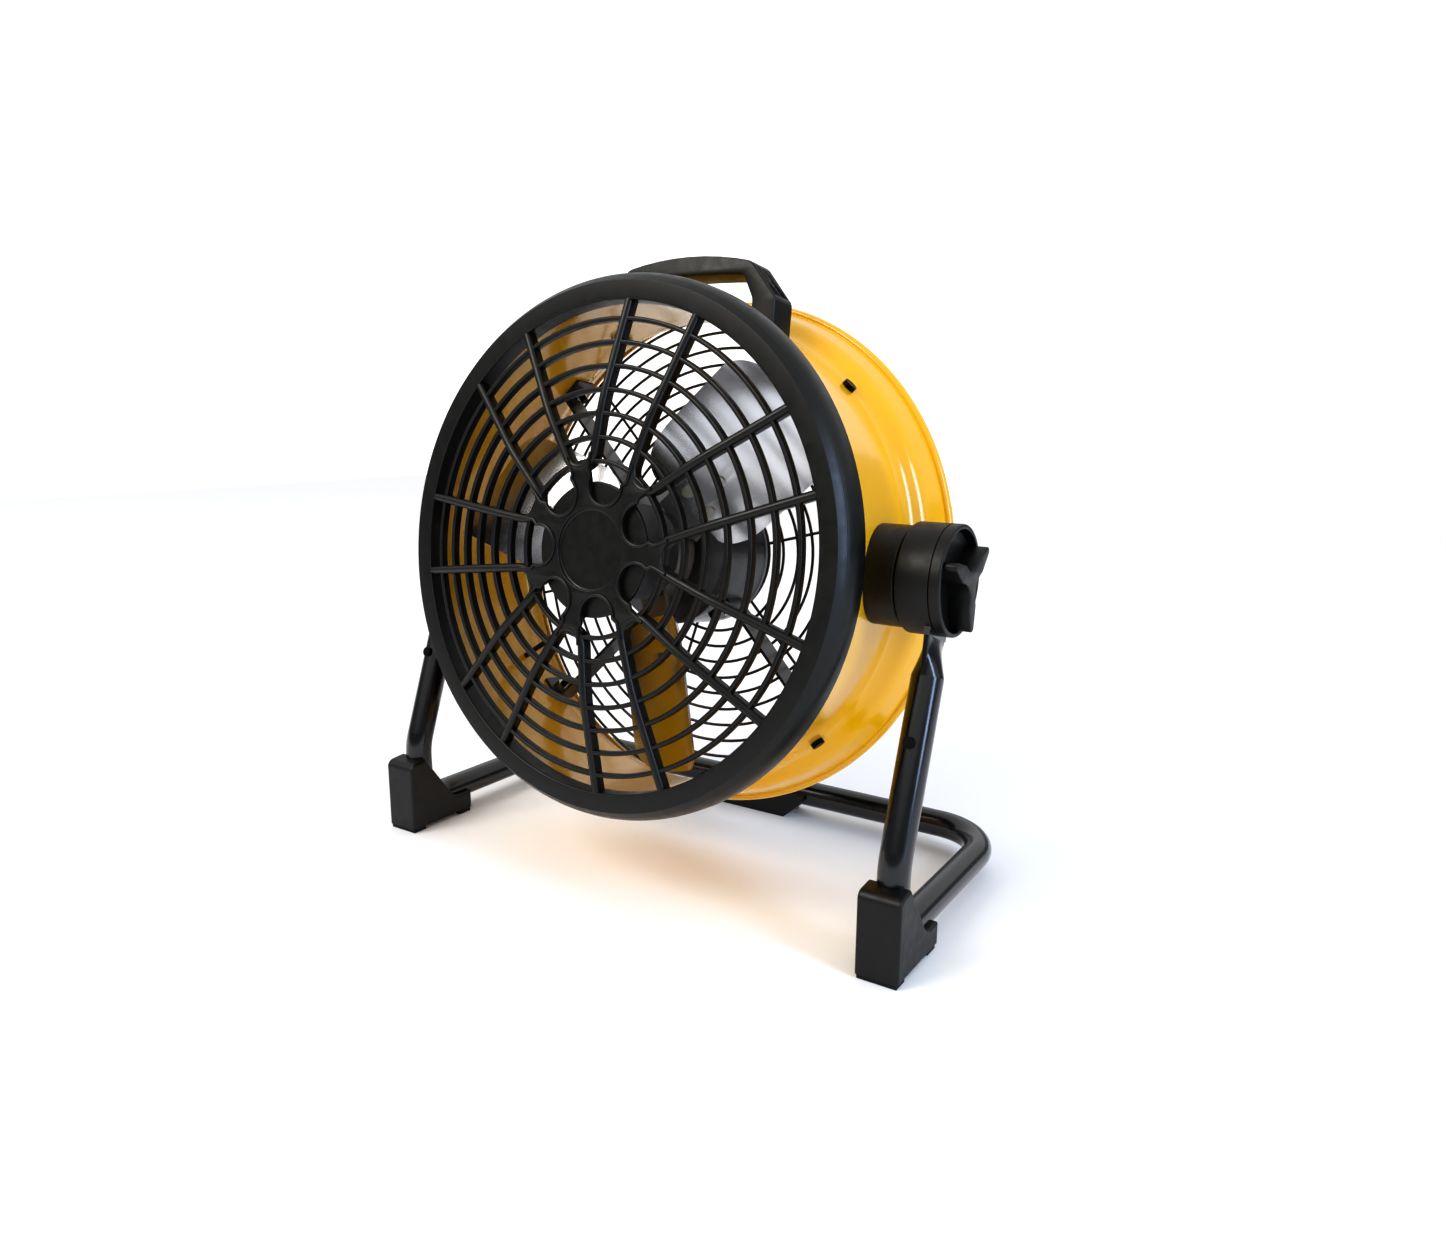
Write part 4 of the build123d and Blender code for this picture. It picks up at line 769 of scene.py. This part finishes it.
class MOVER_OT_drum(Operator):
    """Press the drum with soft shoulders and a rolled lip, and finish its guard, clips and pods"""

    bl_idname = "mover.drum"
    bl_label = "Drum and guard"

    def execute(self, context):
        s = context.scene.mover_drum
        centre = s.radius - s.sheet / 2
        bead = (s.lip_radius - s.bead, s.rear + s.bead)
        line = rounded(
            [
                (s.flange_radius, s.front - s.sheet / 2, 0),
                (centre, s.front - s.sheet / 2, 0.002),
                (centre, s.shoulder, s.shoulder_round),
                (s.band_radius - s.sheet / 2, s.shoulder - 0.010, s.shoulder_round * 0.8),
                (s.band_rear_radius - s.sheet / 2, s.rear + 2 * s.bead, 0.003),
                (*bead, 0),
            ],
            10,
        )
        sides = ([], [])
        for i, point in enumerate(line):
            along = (line[min(i + 1, len(line) - 1)] - line[max(i - 1, 0)]).normalized()
            across = Vector((-along.y, along.x)) * s.sheet / 2
            sides[0].append(point + across)
            sides[1].append(point - across)
        shell = Shell()
        shell.add(*turned(sides[0] + sides[1][::-1], 256))
        shell.add(*turned(arc(bead, s.bead, 360, 0, 20)[:-1], 256))
        piece = shell.build("drum_pressing", HEAD, "head", finish("drum_enamel"), 40)
        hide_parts("drum_shell")
        dress("wire_coating", "rear_guard")
        dress("black_moulding", "guard_clips", "pivot_housing_left", "pivot_housing_right")
        return {"FINISHED"}


class MOVER_OT_motor(Operator):
    """Finish the motor, the arms that hold it, and its lead"""

    bl_idname = "mover.motor"
    bl_label = "Motor"

    def execute(self, context):
        dress("motor_enamel", "motor_body", "motor_arm_1", "motor_arm_2", "motor_arm_3", "motor_arm_4")
        dress("cast_aluminium", "motor_bell_front", "motor_bell_rear")
        dress("ground_steel", "motor_bearings", "motor_shaft")
        dress("lamination_steel", "stator_core", "rotor_core")
        dress("winding_copper", "stator_windings")
        dress("lead_sleeve", "motor_lead")
        return {"FINISHED"}


class MOVER_OT_fan(Operator):
    """Finish the fan: polished sheet blades riveted to a cast spider"""

    bl_idname = "mover.fan"
    bl_label = "Fan"

    def execute(self, context):
        dress("blade_sheet", "fan_blade_1", "fan_blade_2", "fan_blade_3")
        dress("cast_aluminium", "fan_spider")
        dress("zinc_plate", "blade_rivets", "fan_nut")
        return {"FINISHED"}


class MOVER_OT_controls(Operator):
    """Finish the control box and what is in it"""

    bl_idname = "mover.controls"
    bl_label = "Control box"

    def execute(self, context):
        dress("black_moulding", "control_box", "control_box_lid", "speed_dial")
        dress("black_moulding", "cord_gland", "rotary_switch")
        dress("nylon_moulding", "run_capacitor")
        return {"FINISHED"}


class MOVER_OT_fasteners(Operator):
    """Finish the screws, bolts and nuts"""

    bl_idname = "mover.fasteners"
    bl_label = "Fasteners"

    def execute(self, context):
        dress("black_oxide", "leg_screws", "grille_screws", "clip_screws", "arm_bolts")
        dress("black_oxide", "pivot_bolt_left", "pivot_bolt_right")
        dress("zinc_plate", "arm_nuts", "motor_screws", "handle_screws", "lid_screws")
        return {"FINISHED"}


class MOVER_OT_stage(Operator):
    """Lay a pale floor, set soft lights and aim the camera"""

    bl_idname = "mover.stage"
    bl_label = "Stage"

    def execute(self, context):
        s, scene = context.scene.mover_stage, context.scene
        near, far, half, below = -4.0, 3.2, 4.0, -0.0002
        corners = [(-half, near, below), (half, near, below), (half, far, below), (-half, far, below)]
        mesh = bpy.data.meshes.new("studio_floor")
        mesh.from_pydata(corners, [], [(0, 1, 2, 3)])
        floor = bpy.data.objects.new("studio_floor", mesh)
        scene.collection.objects.link(floor)
        material, tree, place = blank("floor_paper")
        fibre = add(tree, "TexNoise", Vector=place, Scale=900.0, Detail=3.0).outputs["Fac"]
        shader = add(
            tree,
            "BsdfPrincipled",
            Base_Color=tinted(tree, fibre, context.scene.mover_colours.floor, "#FFFFFF"),
            Roughness=0.9,
        )
        close(tree, shader)
        mesh.materials.append(material)
        world = bpy.data.worlds.new("soft_room")
        scene.world = world
        world.use_nodes = True
        tree = world.node_tree
        tree.nodes.clear()
        # The backdrop is burnt out to white, and the room that lights the machine is dimmer.
        room = add(tree, "Background", Color=linear("#F6F8FF"), Strength=s.soft_light)
        backdrop = add(tree, "Background", Color=linear("#FFFFFF"), Strength=1.0)
        seen = add(tree, "LightPath").outputs["Is Camera Ray"]
        both = add(tree, "MixShader", i0=seen, i1=room.outputs[0], i2=backdrop.outputs[0])
        add(tree, "OutputWorld", Surface=both.outputs[0])
        lights = (
            ("key_panel", (-1.0, -1.9, 2.0), 1.2, 1.0, 24, "#FFF8EE"),
            ("side_panel", (2.2, -0.5, 1.0), 0.5, 1.6, 22, "#BFD8FF"),
        )
        for name, at, wide, tall, power, code in lights:
            lamp = bpy.data.lights.new(name, "AREA")
            lamp.shape, lamp.size, lamp.size_y, lamp.energy = "RECTANGLE", wide, tall, power
            lamp.color = linear(code)[:3]
            holder = bpy.data.objects.new(name, lamp)
            scene.collection.objects.link(holder)
            aim = PIVOT - Vector(at)
            holder.matrix_world = Matrix.Translation(at) @ aim.to_track_quat("-Z", "Y").to_matrix().to_4x4()
        # Bounce from a white ceiling, as even over the floor as a wide, weak sun.
        ceiling = bpy.data.lights.new("ceiling_bounce", "SUN")
        ceiling.energy, ceiling.angle = s.ceiling, radians(150)
        scene.collection.objects.link(bpy.data.objects.new("ceiling_bounce", ceiling))
        camera = bpy.data.cameras.new("camera")
        camera.lens, camera.sensor_width, camera.clip_start = s.lens, 36.0, 0.01
        viewer = bpy.data.objects.new("camera", camera)
        scene.collection.objects.link(viewer)
        level = cos(s.elevation)
        back = Vector((sin(s.azimuth) * level, -cos(s.azimuth) * level, sin(s.elevation)))
        right = (-back).cross(Vector((0, 0, 1))).normalized()
        up = right.cross(-back)
        turned_right = right * cos(s.roll) + up * sin(s.roll)
        turned_up = up * cos(s.roll) - right * sin(s.roll)
        view = Matrix.Identity(4)
        for column, direction in enumerate((turned_right, turned_up, back)):
            view.col[column].xyz = direction
        view.translation = s.eye
        viewer.matrix_world = view
        scene.camera = viewer
        scene.view_settings.view_transform = "Standard"
        scene.view_settings.look = "High Contrast"
        return {"FINISHED"}


class MOVER_PT_sidebar(Panel):
    """Lists the pieces in the order they are made"""

    bl_label = "Air mover"
    bl_idname = "MOVER_PT_sidebar"
    bl_space_type = "VIEW_3D"
    bl_region_type = "UI"
    bl_category = "Air mover"

    def draw(self, context):
        for operator in OPERATORS:
            self.layout.operator(operator.bl_idname)
        for name in SETTINGS:
            group = getattr(context.scene, name)
            box = self.layout.box()
            box.label(text=type(group).__doc__)
            for prop in type(group).__annotations__:
                box.prop(group, prop)


SETTINGS = {
    "mover_grille": MoverGrilleSizes,
    "mover_drum": MoverDrumSizes,
    "mover_handle": MoverHandleSizes,
    "mover_knob": MoverKnobSizes,
    "mover_colours": MoverColours,
    "mover_stage": MoverStageSizes,
}
OPERATORS = (
    MOVER_OT_front_grille,
    MOVER_OT_handle,
    MOVER_OT_knobs,
    MOVER_OT_stand,
    MOVER_OT_drum,
    MOVER_OT_motor,
    MOVER_OT_fan,
    MOVER_OT_controls,
    MOVER_OT_fasteners,
    MOVER_OT_stage,
)


def register():
    for group in (*SETTINGS.values(), *OPERATORS, MOVER_PT_sidebar):
        bpy.utils.register_class(group)
    for name, group in SETTINGS.items():
        setattr(bpy.types.Scene, name, PointerProperty(type=group))


def unregister():
    for name in SETTINGS:
        delattr(bpy.types.Scene, name)
    for group in reversed((*SETTINGS.values(), *OPERATORS, MOVER_PT_sidebar)):
        bpy.utils.unregister_class(group)


def main():
    register()
    for operator in OPERATORS:
        group, name = operator.bl_idname.split(".")
        getattr(getattr(bpy.ops, group), name)()


if __name__ == "__main__":
    main()
